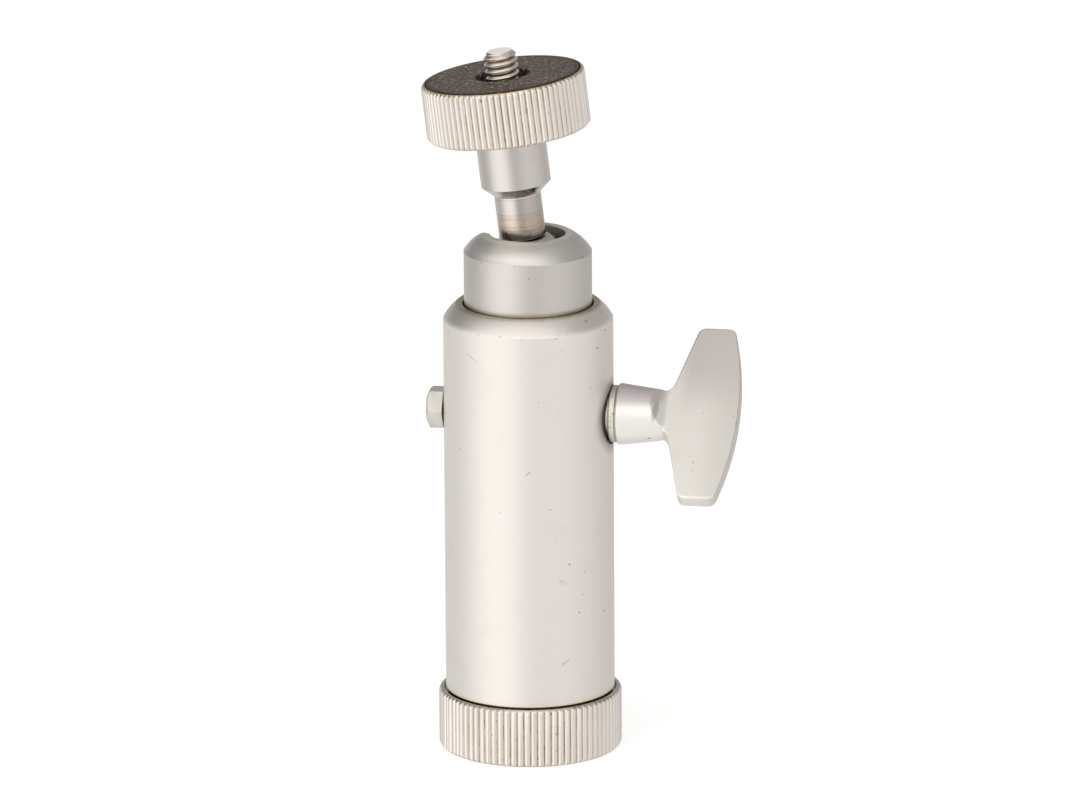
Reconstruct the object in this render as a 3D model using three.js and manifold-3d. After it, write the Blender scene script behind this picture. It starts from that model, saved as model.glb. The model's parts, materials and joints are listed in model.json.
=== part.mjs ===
// A tall ball head for a camera, in millimetres, +Z up.
// The origin is on the barrel's axis at the foot's underside. -Y faces the viewer, +X is to the right.
import * as THREE from 'three';
import { mergeVertices } from 'three/addons/utils/BufferGeometryUtils.js';
import Module from 'manifold-3d';

const wasm = await Module();
wasm.setup();

// Clearances and working values
const clearance = 0.3;
const overrun = 5;
const weld = 0.0001;

// Ball, stem and collar
const ballRadius = 9;
const stemRadius = 4.35;
const stemSeatMargin = 0.47;
const leanLeft = THREE.MathUtils.degToRad(6.65);
const leanBack = THREE.MathUtils.degToRad(0.4);
const rootRadius = 2.5;
const rootLength = 7;
const neckLength = 8.2;
const collarStep = 2.15;
const collarChamfer = 1.9;
const collarLength = 11.6;
const collarTopChamfer = 0.3;

// Socket sleeve: the domed cap that holds the ball and turns under the barrel's lip
const sleeveWall = 2.6;
const sleeveFlangeWidth = 1.7;
const sleeveFlangeThickness = 2.6;
const domeHeight = 3.35;
const domeBulge = 0.33;
const landWidth = 1.15;
const landChamfer = 0.1;
const mouthMargin = 2.7;
const mouthDepth = 2.35;
const slotMargin = 1.25;
const slotSill = 0.2;
const slotCorner = 2;
const slotAngle = THREE.MathUtils.degToRad(45);
const stemDropClearance = 0.35;

// Barrel: one tube with an inturned lip and a bulged shoulder at the top, and the washer under the lip
const barrelTop = 85.1;
const barrelWall = 2.2;
const barrelEndChamfer = 0.4;
const lipThickness = 4.6;
const lipLand = 1.1;
const lipShoulder = 2.9;
const lipBulge = 0.2;
const washerThickness = 0.8;

// Foot: a knurled turned flange that screws into the barrel
const footStep = 1.3;
const footHeight = 11;
const footKnurlDepth = 0.5;
const footRidges = 82;
const footRecess = 1;
const spigotLength = 9;
const spigotWall = 3;
const spigotChamfer = 0.8;
const socketRadius = 4.76;
const socketChamfer = 0.6;

// Reducing bush in the foot, for the smaller tripod screw
const reducerBore = 3.175;
const reducerInset = 0.5;
const reducerTopInset = 2;
const reducerSlotWidth = 1.2;
const reducerSlotDepth = 1.5;

// Camera screw
const screwRadius = 3.15;
const screwRootRadius = 2.6;
const screwRootLength = 10;
const screwReach = 4.6;
const screwTipChamfer = 0.9;

// Knurled lock disc and its pad
const discRadius = 15.25;
const discThickness = 10.5;
const discKnurlDepth = 0.5;
const discRidges = 80;
const discRimWall = 0.2;
const padThickness = 1.2;
const padHoleMargin = 1.85;
const padProud = 0.15;
const discWellDepth = 1.2;

// What lifts the ball: cup, its spring, plunger and the guide block
const cupFloor = 3.2;
const cupLandWidth = 1;
const cupChamfer = 0.5;
const plungerRadius = 5;
const plungerChamfer = 0.5;
const springSpace = 6.3;
const springWire = 0.5;
const springTurns = 3;
const springWasherThickness = 0.8;
const springWasherInset = 0.8;
const blockWallAbove = 1.4;
const blockWallBelow = 3.6;

// Cross shaft and its bushes, along the key's axis
const keyAzimuth = THREE.MathUtils.degToRad(-9.5);
const journalRadius = 3;
const journalStep = 0.6;
const lobeThrow = 0.6;
const lobeOverhang = 1;
const lobeEndGap = 1.5;
const keyBushWall = 1.1;
const keyBushFlangeWidth = 0.95;
const keyBushFlange = 1.1;
const keySpotDepth = 0.5;
const endBushWall = 0.7;
const threadStep = 0.45;
const keySeatStep = 0.5;
const keySeatLength = 5.6;

// Hexagon nut
const nutSides = 6;
const nutSpotDepth = 0.3;
const nutFlats = 7;
const nutLength = 3.2;
const nutDome = 0.7;
const nutFloor = 0.6;

// Wing key, and the pin that crosses its boss
const wingTilt = THREE.MathUtils.degToRad(50);
const bossBaseRadius = 5.75;
const bossTaper = 1.15;
const bossLength = 9.5;
const bossBaseChamfer = 0.4;
const wingThickness = 3.4;
const wingBevel = 0.4;
const wingHalfLength = 19.2;
const wingFlare = 3.75;
const wingTipWidth = 6.6;
const wingBow = 2.7;
const wingInnerCorner = 1.4;
const wingOuterCorner = 1.3;
const wingNeckFillet = 1.6;
const scoopRadius = 3.5;
const keyPinInset = 2.9;
const keyPinRadius = 0.75;
const keyPinDepth = 2;

// Facets of the round pieces
const barrelFacets = 60;
const sleeveFacets = 48;
const ballFacets = 32;
const smallFacets = 20;
const pinFacets = 16;
const arcSteps = 5;

// Radii, from the ball outwards
const seatRadius = ballRadius + clearance;
const sleeveRadius = seatRadius + sleeveWall;
const lipHole = sleeveRadius + clearance;
const barrelBore = sleeveRadius + sleeveFlangeWidth;
const insideRadius = barrelBore - clearance;
const barrelRadius = barrelBore + barrelWall;
const footRadius = barrelRadius + footStep;
const spotRadius = stemRadius + stemSeatMargin;
const collarRadius = stemRadius + collarStep;
const mouthRadius = stemRadius + mouthMargin;
const landRadius = mouthRadius + landWidth;

// Heights, from the barrel's top to the ball and down again to the key
const lipUnderside = barrelTop - lipThickness;
const flangeTop = lipUnderside - washerThickness - 2 * clearance;
const flangeBottom = flangeTop - sleeveFlangeThickness;
const slotFloor = barrelTop + slotSill;
const ballHeight = slotFloor + stemDropClearance + stemRadius;
const mouthBottom = ballHeight + Math.sqrt(seatRadius ** 2 - mouthRadius ** 2);
const landHeight = mouthBottom + mouthDepth;
const shoulderHeight = landHeight - domeHeight;
const cupBottom = ballHeight - seatRadius - cupFloor;
const springWasherBottom = cupBottom - springWasherThickness;
const blockTop = springWasherBottom - springSpace;
const keyBushRadius = journalRadius + clearance + keyBushWall;
const keyHeight = blockTop - blockWallAbove - clearance - keyBushRadius;
const blockBottom = keyHeight - keyBushRadius - clearance - blockWallBelow;
const recessFloor = footHeight - footRecess;

// Along the stem's axis, from the ball's centre
const ballFlat = Math.sqrt(ballRadius ** 2 - spotRadius ** 2);
const stemStart = ballFlat + clearance;
const collarStart = stemStart + neckLength;
const collarTop = collarStart + collarLength;
const discBottom = collarTop + clearance;
const discTop = discBottom + discThickness;
const padTop = discTop + padProud;
const padHole = screwRadius + padHoleMargin;
const padRadius = discRadius - discKnurlDepth - discRimWall - clearance;
const screwTip = padTop + screwReach;

// Along the key's axis, from the barrel's axis to the right and to the left
const lobeRadius = journalRadius + lobeThrow;
const lobeHalfLength = plungerRadius + lobeOverhang;
const keyBushInner = lobeHalfLength + lobeEndGap;
const keyBushFlangeRadius = keyBushRadius + keyBushFlangeWidth;
const endJournalRadius = journalRadius - journalStep;
const endBushRadius = endJournalRadius + clearance + endBushWall;
const nutThreadRadius = endJournalRadius - threadStep;
const keySeatRadius = journalRadius - keySeatStep;
const keySeat = barrelRadius - keySpotDepth;
const nutSeat = barrelRadius - nutSpotDepth;
const nutInner = nutSeat + clearance;
const bossStart = keySeat + 2 * clearance + keyBushFlange;
const shaftKeyEnd = bossStart + keySeatLength;
const bossNeckReach = bossStart + bossLength;
const bossNeckRadius = bossBaseRadius - bossTaper;
const wingTipInner = bossNeckReach + wingFlare;
const wingTipReach = wingTipInner + wingTipWidth;
const wingReach = wingTipReach + wingBow;
const keyPinReach = bossStart + keyPinInset;

// Turns a closed three.js geometry into a solid that can be joined and cut
function solidOf(geometry) {
  const bare = geometry.clone();
  bare.deleteAttribute('normal');
  bare.deleteAttribute('uv');
  const merged = mergeVertices(bare, weld);
  const corners = merged.index.array;
  const kept = [];
  for (let i = 0; i < corners.length; i += 3) {
    const [a, b, c] = corners.slice(i, i + 3);
    if (a !== b && b !== c && c !== a) {
      kept.push(a, b, c);
    }
  }
  const vertProperties = new Float32Array(merged.attributes.position.array);
  return new wasm.Manifold(new wasm.Mesh({ numProp: 3, vertProperties, triVerts: new Uint32Array(kept) }));
}

// Turns a solid back into a geometry that a mesh can show
function geometryOf(solid) {
  const { vertProperties, triVerts } = solid.getMesh();
  const geometry = new THREE.BufferGeometry();
  geometry.setAttribute('position', new THREE.BufferAttribute(new Float32Array(vertProperties), 3));
  geometry.setIndex(new THREE.BufferAttribute(new Uint32Array(triVerts), 1));
  geometry.computeVertexNormals();
  return geometry;
}

// Revolves [radius, height] points about Z; the profile runs bottom, outside, top
function turned(profile, facets) {
  const points = profile.map(([radius, height]) => new THREE.Vector2(radius, height));
  return solidOf(new THREE.LatheGeometry(points, facets).rotateX(Math.PI / 2));
}

// Revolves a profile that encloses no axis, as a ring
function turnedRing(profile, facets) {
  return turned([...profile, profile[0]], facets);
}

function rod(radius, low, high, facets) {
  return turned([[0, low], [radius, low], [radius, high], [0, high]], facets);
}

// Points of an arc about [radius, height], angles from the outward direction
function arc(centre, radius, from, to, steps) {
  const points = [];
  for (let step = 0; step <= steps; step += 1) {
    const angle = from + ((to - from) * step) / steps;
    points.push([centre[0] + radius * Math.cos(angle), centre[1] + radius * Math.sin(angle)]);
  }
  return points;
}

// Points of the arc from one [radius, height] to a higher one, standing out from their chord by its bulge
function bulgedArc(low, high, bulge) {
  const chordR = low[0] - high[0];
  const chordZ = high[1] - low[1];
  const chord = Math.hypot(chordR, chordZ);
  const radius = (chord * chord / 4 + bulge * bulge) / (2 * bulge);
  const sink = radius - bulge;
  const centre = [
    (low[0] + high[0]) / 2 - (sink * chordZ) / chord,
    (low[1] + high[1]) / 2 - (sink * chordR) / chord,
  ];
  const from = Math.atan2(low[1] - centre[1], low[0] - centre[0]);
  const to = Math.atan2(high[1] - centre[1], high[0] - centre[0]);
  return arc(centre, radius, from, to, arcSteps);
}

function moved(solid, matrix) {
  return solid.transform(matrix.elements);
}

// Lays a solid that was made along Z along the key's axis
function alongKey(solid) {
  return moved(solid, new THREE.Matrix4().makeRotationY(Math.PI / 2));
}

// Puts a solid made in the key's frame into the barrel's frame, to cut the barrel and the block
function inBarrel(solid) {
  const place = new THREE.Matrix4().makeTranslation(0, 0, keyHeight);
  const turn = new THREE.Matrix4().makeRotationZ(keyAzimuth);
  return moved(solid, place.multiply(turn));
}

// A billet with straight ridges round it, whose chamfered ends run down to the valleys
function knurledBillet(ridgeRadius, depth, ridges, height) {
  const landShare = 0.42;
  const valleyRadius = ridgeRadius - depth;
  const outline = [];
  for (let ridge = 0; ridge < ridges; ridge += 1) {
    for (const [share, radius] of [[0, valleyRadius], [(1 - landShare) / 2, ridgeRadius],
      [(1 + landShare) / 2, ridgeRadius]]) {
      outline.push([(2 * Math.PI * (ridge + share)) / ridges, radius]);
    }
  }
  const levels = [[0, true], [depth, false], [height - depth, false], [height, true]];
  const positions = [];
  for (const [z, flush] of levels) {
    for (const [angle, radius] of outline) {
      const reach = flush ? valleyRadius : radius;
      positions.push(reach * Math.cos(angle), reach * Math.sin(angle), z);
    }
  }
  const count = outline.length;
  const low = levels.length * count;
  const high = low + 1;
  positions.push(0, 0, 0, 0, 0, height);
  const index = [];
  for (let i = 0; i < count; i += 1) {
    const next = (i + 1) % count;
    for (let level = 0; level < levels.length - 1; level += 1) {
      const a = level * count + i;
      const b = level * count + next;
      index.push(a, b, b + count, a, b + count, a + count);
    }
    const top = (levels.length - 1) * count;
    index.push(low, next, i, high, top + i, top + next);
  }
  const geometry = new THREE.BufferGeometry();
  geometry.setAttribute('position', new THREE.Float32BufferAttribute(positions, 3));
  geometry.setIndex(index);
  return solidOf(geometry);
}

function finish(colour, roughness, metalness = 1) {
  return new THREE.MeshStandardMaterial({ color: colour, roughness, metalness });
}

function part(name, solid, material) {
  const mesh = new THREE.Mesh(geometryOf(solid), material);
  mesh.name = name;
  return mesh;
}

// Foot, with the recess that the barrel's end stands in and the spigot above it
function makeFoot() {
  const spigotTop = recessFloor + spigotLength;
  const recess = rod(barrelRadius + clearance, recessFloor, footHeight + overrun, barrelFacets);
  const spigot = turned([
    [0, recessFloor - footRecess],
    [insideRadius, recessFloor - footRecess],
    [insideRadius, spigotTop - spigotChamfer],
    [insideRadius - spigotChamfer, spigotTop],
    [0, spigotTop],
  ], barrelFacets);
  const hollow = rod(insideRadius - spigotWall, footHeight, spigotTop + overrun, barrelFacets);
  const socket = turned([
    [0, -overrun],
    [socketRadius + socketChamfer + overrun, -overrun],
    [socketRadius, socketChamfer],
    [socketRadius, footHeight + overrun],
    [0, footHeight + overrun],
  ], smallFacets);
  const billet = knurledBillet(footRadius, footKnurlDepth, footRidges, footHeight);
  return billet.subtract(recess).add(spigot).subtract(hollow).subtract(socket);
}

// Reducing bush, with a driver slot across its lower end
function makeReducerBush() {
  const radius = socketRadius - clearance;
  const top = footHeight - reducerTopInset;
  const bush = turnedRing([
    [reducerBore, reducerInset],
    [radius, reducerInset],
    [radius, top],
    [reducerBore, top],
  ], smallFacets);
  const slot = new THREE.BoxGeometry(2 * socketRadius, reducerSlotWidth, reducerSlotDepth);
  return bush.subtract(solidOf(slot.translate(0, 0, reducerInset + reducerSlotDepth / 2 - weld)));
}

// Barrel, with the seats and holes for the two bushes of the key's shaft
function makeBarrel() {
  const tube = turnedRing([
    [barrelBore, recessFloor],
    [barrelRadius - barrelEndChamfer, recessFloor],
    [barrelRadius, recessFloor + barrelEndChamfer],
    ...bulgedArc([barrelRadius, barrelTop - lipShoulder], [lipHole + lipLand, barrelTop], lipBulge),
    [lipHole, barrelTop],
    [lipHole, lipUnderside],
    [barrelBore, lipUnderside],
  ], barrelFacets);
  const reach = barrelRadius + overrun;
  const nutRecess = nutFlats / Math.sqrt(3) + clearance;
  const keySide = rod(keyBushRadius + clearance, 0, reach, smallFacets);
  const keySpot = rod(keyBushFlangeRadius + clearance, keySeat, reach, smallFacets);
  const endSide = rod(endBushRadius + clearance, -reach, 0, smallFacets);
  const endSpot = rod(nutRecess, -reach, -nutSeat, smallFacets);
  const holes = keySide.add(keySpot).add(endSide).add(endSpot);
  return tube.subtract(inBarrel(alongKey(holes)));
}

function makeThrustWasher() {
  const low = flangeTop + clearance;
  return turnedRing([
    [lipHole, low],
    [insideRadius, low],
    [insideRadius, low + washerThickness],
    [lipHole, low + washerThickness],
  ], sleeveFacets);
}

// A radial cutter with rounded lower corners, as wide as the slot and open upwards
function slotCutter(innerReach, outerReach, floor, top) {
  const half = stemRadius + slotMargin;
  const outline = new THREE.Shape();
  outline.moveTo(-half, top);
  outline.lineTo(-half, floor + slotCorner);
  outline.absarc(-half + slotCorner, floor + slotCorner, slotCorner, Math.PI, 1.5 * Math.PI, false);
  outline.absarc(half - slotCorner, floor + slotCorner, slotCorner, 1.5 * Math.PI, 2 * Math.PI, false);
  outline.lineTo(half, top);
  const extrusion = new THREE.ExtrudeGeometry(outline, {
    depth: outerReach - innerReach,
    bevelEnabled: false,
    curveSegments: 3,
  });
  // The outline's height becomes Z and its depth runs along +Y
  extrusion.translate(0, 0, innerReach).rotateX(Math.PI / 2).rotateZ(Math.PI);
  return solidOf(extrusion);
}

// Socket sleeve: flange, neck, bulged dome, flat land round the mouth, spherical seat and the drop slot
function makeSocketSleeve() {
  const coneTop = [landRadius + landChamfer, landHeight - landChamfer];
  const mouthAngle = Math.acos(mouthRadius / seatRadius);
  const body = turnedRing([
    [seatRadius, flangeBottom],
    [insideRadius, flangeBottom],
    [insideRadius, flangeTop],
    [sleeveRadius, flangeTop],
    ...bulgedArc([sleeveRadius, shoulderHeight], coneTop, domeBulge),
    [landRadius, landHeight],
    [mouthRadius, landHeight],
    ...arc([0, ballHeight], seatRadius, mouthAngle, 0, arcSteps),
  ], sleeveFacets);
  const slot = slotCutter(0, sleeveRadius + overrun, slotFloor, landHeight + overrun);
  return body.subtract(slot.rotate([0, 0, THREE.MathUtils.radToDeg(slotAngle)]));
}

// Clamping ball, spot-faced and bored for the stem
function makeBall() {
  const flatAngle = Math.asin(ballFlat / ballRadius);
  const ball = turned([
    ...arc([0, 0], ballRadius, -Math.PI / 2, flatAngle, 2 * arcSteps),
    [0, ballFlat],
  ].map(([radius, height]) => [Math.max(radius, 0), height]), ballFacets);
  const floor = ballFlat - rootLength;
  return ball.subtract(rod(rootRadius + clearance, floor, ballFlat + overrun, smallFacets));
}

// Stem, with its root in the ball and the collar that the lock disc comes down on
function makeStem() {
  const rootLow = stemStart - rootLength;
  const bore = screwRootRadius + clearance;
  return turned([
    [0, rootLow],
    [rootRadius, rootLow],
    [rootRadius, stemStart],
    [stemRadius, stemStart],
    [stemRadius, collarStart],
    [collarRadius, collarStart + collarChamfer],
    [collarRadius, collarTop - collarTopChamfer],
    [collarRadius - collarTopChamfer, collarTop],
    [bore, collarTop],
    [bore, collarTop - screwRootLength - clearance],
    [0, collarTop - screwRootLength - clearance],
  ], smallFacets);
}

function makeCameraScrew() {
  return turned([
    [0, collarTop - screwRootLength],
    [screwRootRadius, collarTop - screwRootLength],
    [screwRootRadius, discBottom],
    [screwRadius, discBottom],
    [screwRadius, screwTip - screwTipChamfer],
    [screwRadius - screwTipChamfer, screwTip],
    [0, screwTip],
  ], smallFacets);
}

// Lock disc: ridged rim, recess for the pad, a well round the screw and the threaded bore
function makeLockDisc() {
  const recessDepth = padThickness - padProud + clearance;
  const billet = knurledBillet(discRadius, discKnurlDepth, discRidges, discThickness);
  const recess = rod(padRadius + clearance, discThickness - recessDepth, discThickness + overrun, barrelFacets);
  const wellFloor = discThickness - recessDepth - discWellDepth;
  const well = rod(padHole, wellFloor, discThickness + overrun, smallFacets);
  const bore = rod(screwRadius + clearance, -overrun, discThickness + overrun, smallFacets);
  return billet.subtract(recess).subtract(well).subtract(bore).translate([0, 0, discBottom]);
}

function makeDiscPad() {
  return turnedRing([
    [padHole, padTop - padThickness],
    [padRadius, padTop - padThickness],
    [padRadius, padTop],
    [padHole, padTop],
  ], sleeveFacets);
}

// Guide block: a turned slug bored across for the shaft and from above for the plunger
function makeGuideBlock() {
  const slug = rod(insideRadius, blockBottom, blockTop, sleeveFacets);
  const well = rod(plungerRadius + clearance, keyHeight, blockTop + overrun, smallFacets);
  const reach = barrelRadius + overrun;
  const keySide = rod(keyBushRadius + clearance, -lobeHalfLength - clearance, reach, smallFacets);
  const endSide = rod(endBushRadius + clearance, -reach, 0, smallFacets);
  return slug.subtract(well).subtract(inBarrel(alongKey(keySide.add(endSide))));
}

// Bushes that carry the shaft in the barrel's wall and the block
function makeKeyBush() {
  const bore = journalRadius + clearance;
  const flange = keySeat + clearance;
  return alongKey(turnedRing([
    [bore, keyBushInner],
    [keyBushRadius, keyBushInner],
    [keyBushRadius, flange],
    [keyBushFlangeRadius, flange],
    [keyBushFlangeRadius, flange + keyBushFlange],
    [bore, flange + keyBushFlange],
  ], smallFacets));
}

function makeEndBush() {
  const bore = endJournalRadius + clearance;
  return alongKey(turnedRing([
    [bore, -nutSeat],
    [endBushRadius, -nutSeat],
    [endBushRadius, -keyBushInner],
    [bore, -keyBushInner],
  ], smallFacets));
}

// Cross pin of the key and its hole, along the wing's upper half
function keyPinRod(radius, low, high) {
  const upright = rod(radius, low, high, pinFacets).translate([keyPinReach, 0, 0]);
  return moved(upright, new THREE.Matrix4().makeRotationX(-wingTilt));
}

// Eccentric shaft: end thread, end journal, lobe with its throw upwards, journal and key seat
function makeEccentricShaft() {
  const threadEnd = nutInner + nutLength - nutFloor - clearance;
  const body = alongKey(turned([
    [0, -threadEnd],
    [nutThreadRadius, -threadEnd],
    [nutThreadRadius, -nutSeat],
    [endJournalRadius, -nutSeat],
    [endJournalRadius, -lobeHalfLength],
    [journalRadius, -lobeHalfLength],
    [journalRadius, bossStart - clearance],
    [keySeatRadius, bossStart - clearance],
    [keySeatRadius, shaftKeyEnd],
    [0, shaftKeyEnd],
  ], smallFacets));
  const lobe = alongKey(rod(lobeRadius, -lobeHalfLength, lobeHalfLength, smallFacets));
  const pinHole = keyPinRod(keyPinRadius + clearance, -keyPinDepth - clearance, keySeatRadius + overrun);
  return body.add(lobe.translate([0, 0, lobeThrow])).subtract(pinHole);
}

// Domed hexagon nut with a blind thread, one corner towards the viewer
function makeHexNut() {
  const corner = nutFlats / Math.sqrt(3);
  const outer = nutInner + nutLength;
  const hexagon = new THREE.CylinderGeometry(corner, corner, nutLength, nutSides).rotateX(Math.PI / 2);
  const prism = solidOf(hexagon.translate(0, 0, -(nutInner + outer) / 2));
  const dome = turned([
    [0, -outer],
    [corner - 2 * nutDome, -outer],
    [corner, -outer + nutDome],
    [corner + overrun, -outer + nutDome],
    [corner + overrun, 0],
    [0, 0],
  ], smallFacets);
  const thread = rod(nutThreadRadius + clearance, -outer + nutFloor, overrun, smallFacets);
  return alongKey(prism.intersect(dome).subtract(thread));
}

// Outline of the wing: [reach along the key's axis, height along the wing], upper half, neck to outer edge
function wingHalfOutline() {
  const tip = wingHalfLength;
  const run = new THREE.Vector2(wingTipInner - bossNeckReach, tip - bossNeckRadius);
  const along = run.clone().normalize();
  const neck = new THREE.Vector2(bossNeckReach, bossNeckRadius);
  const flareStart = new THREE.Vector2(bossNeckReach - wingNeckFillet, bossNeckRadius);
  const flareEnd = neck.clone().addScaledVector(along, wingNeckFillet);
  const innerTip = new THREE.Vector2(wingTipInner, tip);
  const innerStart = innerTip.clone().addScaledVector(along, -wingInnerCorner);
  const innerEnd = innerTip.clone().add(new THREE.Vector2(wingInnerCorner, 0));
  const outerTip = new THREE.Vector2(wingTipReach, tip);
  const outerStart = outerTip.clone().add(new THREE.Vector2(-wingOuterCorner, 0));
  const rise = wingReach - wingTipReach;
  const edgeRadius = (tip * tip + rise * rise) / (2 * rise);
  const edgeAngle = Math.asin((tip - wingOuterCorner) / edgeRadius);
  const edge = arc([wingReach - edgeRadius, 0], edgeRadius, edgeAngle, 0, 2 * arcSteps)
    .map(([reach, height]) => new THREE.Vector2(reach, height));
  return [
    ...new THREE.QuadraticBezierCurve(flareStart, neck, flareEnd).getPoints(arcSteps),
    ...new THREE.QuadraticBezierCurve(innerStart, innerTip, innerEnd).getPoints(arcSteps - 2),
    ...new THREE.QuadraticBezierCurve(outerStart, outerTip, edge[0]).getPoints(arcSteps - 2),
    ...edge.slice(1),
  ];
}

// Wing key: a tapered boss blended by two scoops into a flat wing with rounded edges
function makeWingKey() {
  const upper = wingHalfOutline();
  const lower = upper.slice(0, -1).reverse().map((point) => new THREE.Vector2(point.x, -point.y));
  const plate = new THREE.ExtrudeGeometry(new THREE.Shape([...upper, ...lower]), {
    depth: wingThickness - 2 * wingBevel,
    bevelEnabled: true,
    bevelThickness: wingBevel,
    bevelSize: wingBevel,
    bevelOffset: -wingBevel,
    bevelSegments: 2,
  });
  plate.translate(0, 0, wingBevel - wingThickness / 2).rotateX(Math.PI / 2);
  const bossEnd = bossNeckReach + wingNeckFillet;
  const boss = alongKey(turned([
    [0, bossStart],
    [bossBaseRadius - bossBaseChamfer, bossStart],
    [bossBaseRadius, bossStart + bossBaseChamfer],
    [bossNeckRadius, bossNeckReach],
    [bossNeckRadius, bossEnd],
    [0, bossEnd],
  ], smallFacets));
  const half = wingThickness / 2;
  const waste = overrun + bossBaseRadius;
  const flat = new THREE.BoxGeometry(bossEnd, waste, 2 * waste).translate(
    bossNeckReach + bossEnd / 2, half + waste / 2, 0);
  const scoop = rod(scoopRadius, -waste, waste, sleeveFacets)
    .translate([bossNeckReach, half + scoopRadius, 0]);
  const cutter = scoop.add(solidOf(flat));
  const bossCut = boss.subtract(cutter).subtract(cutter.mirror([0, 1, 0]));
  const bore = alongKey(rod(keySeatRadius + clearance, -overrun, shaftKeyEnd + clearance, smallFacets));
  const key = moved(bossCut.add(solidOf(plate)), new THREE.Matrix4().makeRotationX(-wingTilt));
  return key.subtract(bore).subtract(keyPinRod(keyPinRadius + clearance, 0, bossBaseRadius + overrun));
}

// The pin's outer end lies just under the boss's skin
function makeKeyPin() {
  const bossAtPin = THREE.MathUtils.mapLinear(
    keyPinReach, bossStart, bossNeckReach, bossBaseRadius, bossNeckRadius);
  return keyPinRod(keyPinRadius, -keyPinDepth, bossAtPin - keyPinRadius / 2);
}

const cupRadius = seatRadius - clearance;

// Cup that presses the ball up, with a narrow land round its spherical seat
function makePressureCup() {
  const seatEdge = cupRadius - cupChamfer - cupLandWidth;
  const landTop = ballHeight - Math.sqrt(seatRadius ** 2 - seatEdge ** 2);
  const seatAngle = Math.atan2(landTop - ballHeight, seatEdge);
  return turned([
    [0, cupBottom],
    [cupRadius - cupChamfer, cupBottom],
    [cupRadius, cupBottom + cupChamfer],
    [cupRadius, landTop - cupChamfer],
    [cupRadius - cupChamfer, landTop],
    ...arc([0, ballHeight], seatRadius, seatAngle, -Math.PI / 2, arcSteps),
  ].map(([radius, height]) => [Math.max(radius, 0), height]), ballFacets);
}

function makePlunger() {
  const plungerBottom = keyHeight + lobeThrow + lobeRadius + clearance;
  return turned([
    [0, plungerBottom],
    [plungerRadius - plungerChamfer, plungerBottom],
    [plungerRadius, plungerBottom + plungerChamfer],
    [plungerRadius, cupBottom],
    [0, cupBottom],
  ], smallFacets);
}

const springWasherInner = plungerRadius + clearance;
const springWasherOuter = cupRadius - springWasherInset;

function makeSpringWasher() {
  return turnedRing([
    [springWasherInner, springWasherBottom],
    [springWasherOuter, springWasherBottom],
    [springWasherOuter, cupBottom],
    [springWasherInner, cupBottom],
  ], ballFacets);
}

// Spring that keeps the cup up against the ball: one unbroken coil
function makeCupSpring() {
  const stepsPerTurn = 8;
  const sides = 5;
  const springRadius = (springWasherInner + springWasherOuter) / 2;
  const low = blockTop + clearance + springWire;
  const high = springWasherBottom - clearance - springWire;
  const steps = springTurns * stepsPerTurn;
  const positions = [];
  const spine = [];
  for (let step = 0; step <= steps; step += 1) {
    const turn = (2 * Math.PI * step) / stepsPerTurn;
    const height = THREE.MathUtils.lerp(low, high, step / steps);
    spine.push(new THREE.Vector3(springRadius * Math.cos(turn), springRadius * Math.sin(turn), height));
    for (let side = 0; side < sides; side += 1) {
      const angle = (2 * Math.PI * side) / sides;
      const reach = springRadius + springWire * Math.cos(angle);
      const rise = height + springWire * Math.sin(angle);
      positions.push(reach * Math.cos(turn), reach * Math.sin(turn), rise);
    }
  }
  const index = [];
  for (let step = 0; step < steps; step += 1) {
    for (let side = 0; side < sides; side += 1) {
      const a = step * sides + side;
      const b = step * sides + ((side + 1) % sides);
      index.push(a, a + sides, b, b, a + sides, b + sides);
    }
  }
  for (let side = 1; side < sides - 1; side += 1) {
    const last = steps * sides;
    index.push(0, side, side + 1, last, last + side + 1, last + side);
  }
  const gap = Math.min(...spine.slice(stepsPerTurn).map((point, i) => point.distanceTo(spine[i])));
  console.log(`cup_spring least gap to itself ${(gap - 2 * springWire).toFixed(2)} mm`);
  const geometry = new THREE.BufferGeometry();
  geometry.setAttribute('position', new THREE.Float32BufferAttribute(positions, 3));
  geometry.setIndex(index);
  return solidOf(geometry);
}

// Finishes, from the photograph
const satinChrome = () => finish(0xd8d0c8, 0.42);
const greyChrome = () => finish(0xbdb8b3, 0.38);
const nickel = () => finish(0xd9d2c0, 0.36);
const steel = () => finish(0xb4aeaa, 0.3);
const brass = () => finish(0xb09458, 0.4);
const acetal = () => finish(0xd9d3c4, 0.5, 0);
const leatherette = () => finish(0x2a2422, 0.75, 0);
const fibre = () => finish(0x6b4a33, 0.8, 0);

// Assembly: the fixed pieces stand on the barrel's axis
const ballHead = new THREE.Group();
ballHead.add(
  part('foot', makeFoot(), nickel()),
  part('reducer_bush', makeReducerBush(), steel()),
  part('barrel', makeBarrel(), satinChrome()),
  part('thrust_washer', makeThrustWasher(), fibre()),
  part('guide_block', makeGuideBlock(), brass()),
  part('socket_sleeve', makeSocketSleeve(), greyChrome()),
  part('pressure_cup', makePressureCup(), acetal()),
  part('plunger', makePlunger(), steel()),
  part('spring_washer', makeSpringWasher(), steel()),
  part('cup_spring', makeCupSpring(), steel()),
);

// What lies on the key's axis
const keyGroup = new THREE.Group();
keyGroup.position.z = keyHeight;
keyGroup.rotation.z = keyAzimuth;
keyGroup.add(
  part('key_bush', makeKeyBush(), brass()),
  part('end_bush', makeEndBush(), brass()),
  part('eccentric_shaft', makeEccentricShaft(), steel()),
  part('wing_key', makeWingKey(), satinChrome()),
  part('key_pin', makeKeyPin(), steel()),
  part('hex_nut', makeHexNut(), steel()),
);
ballHead.add(keyGroup);

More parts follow.
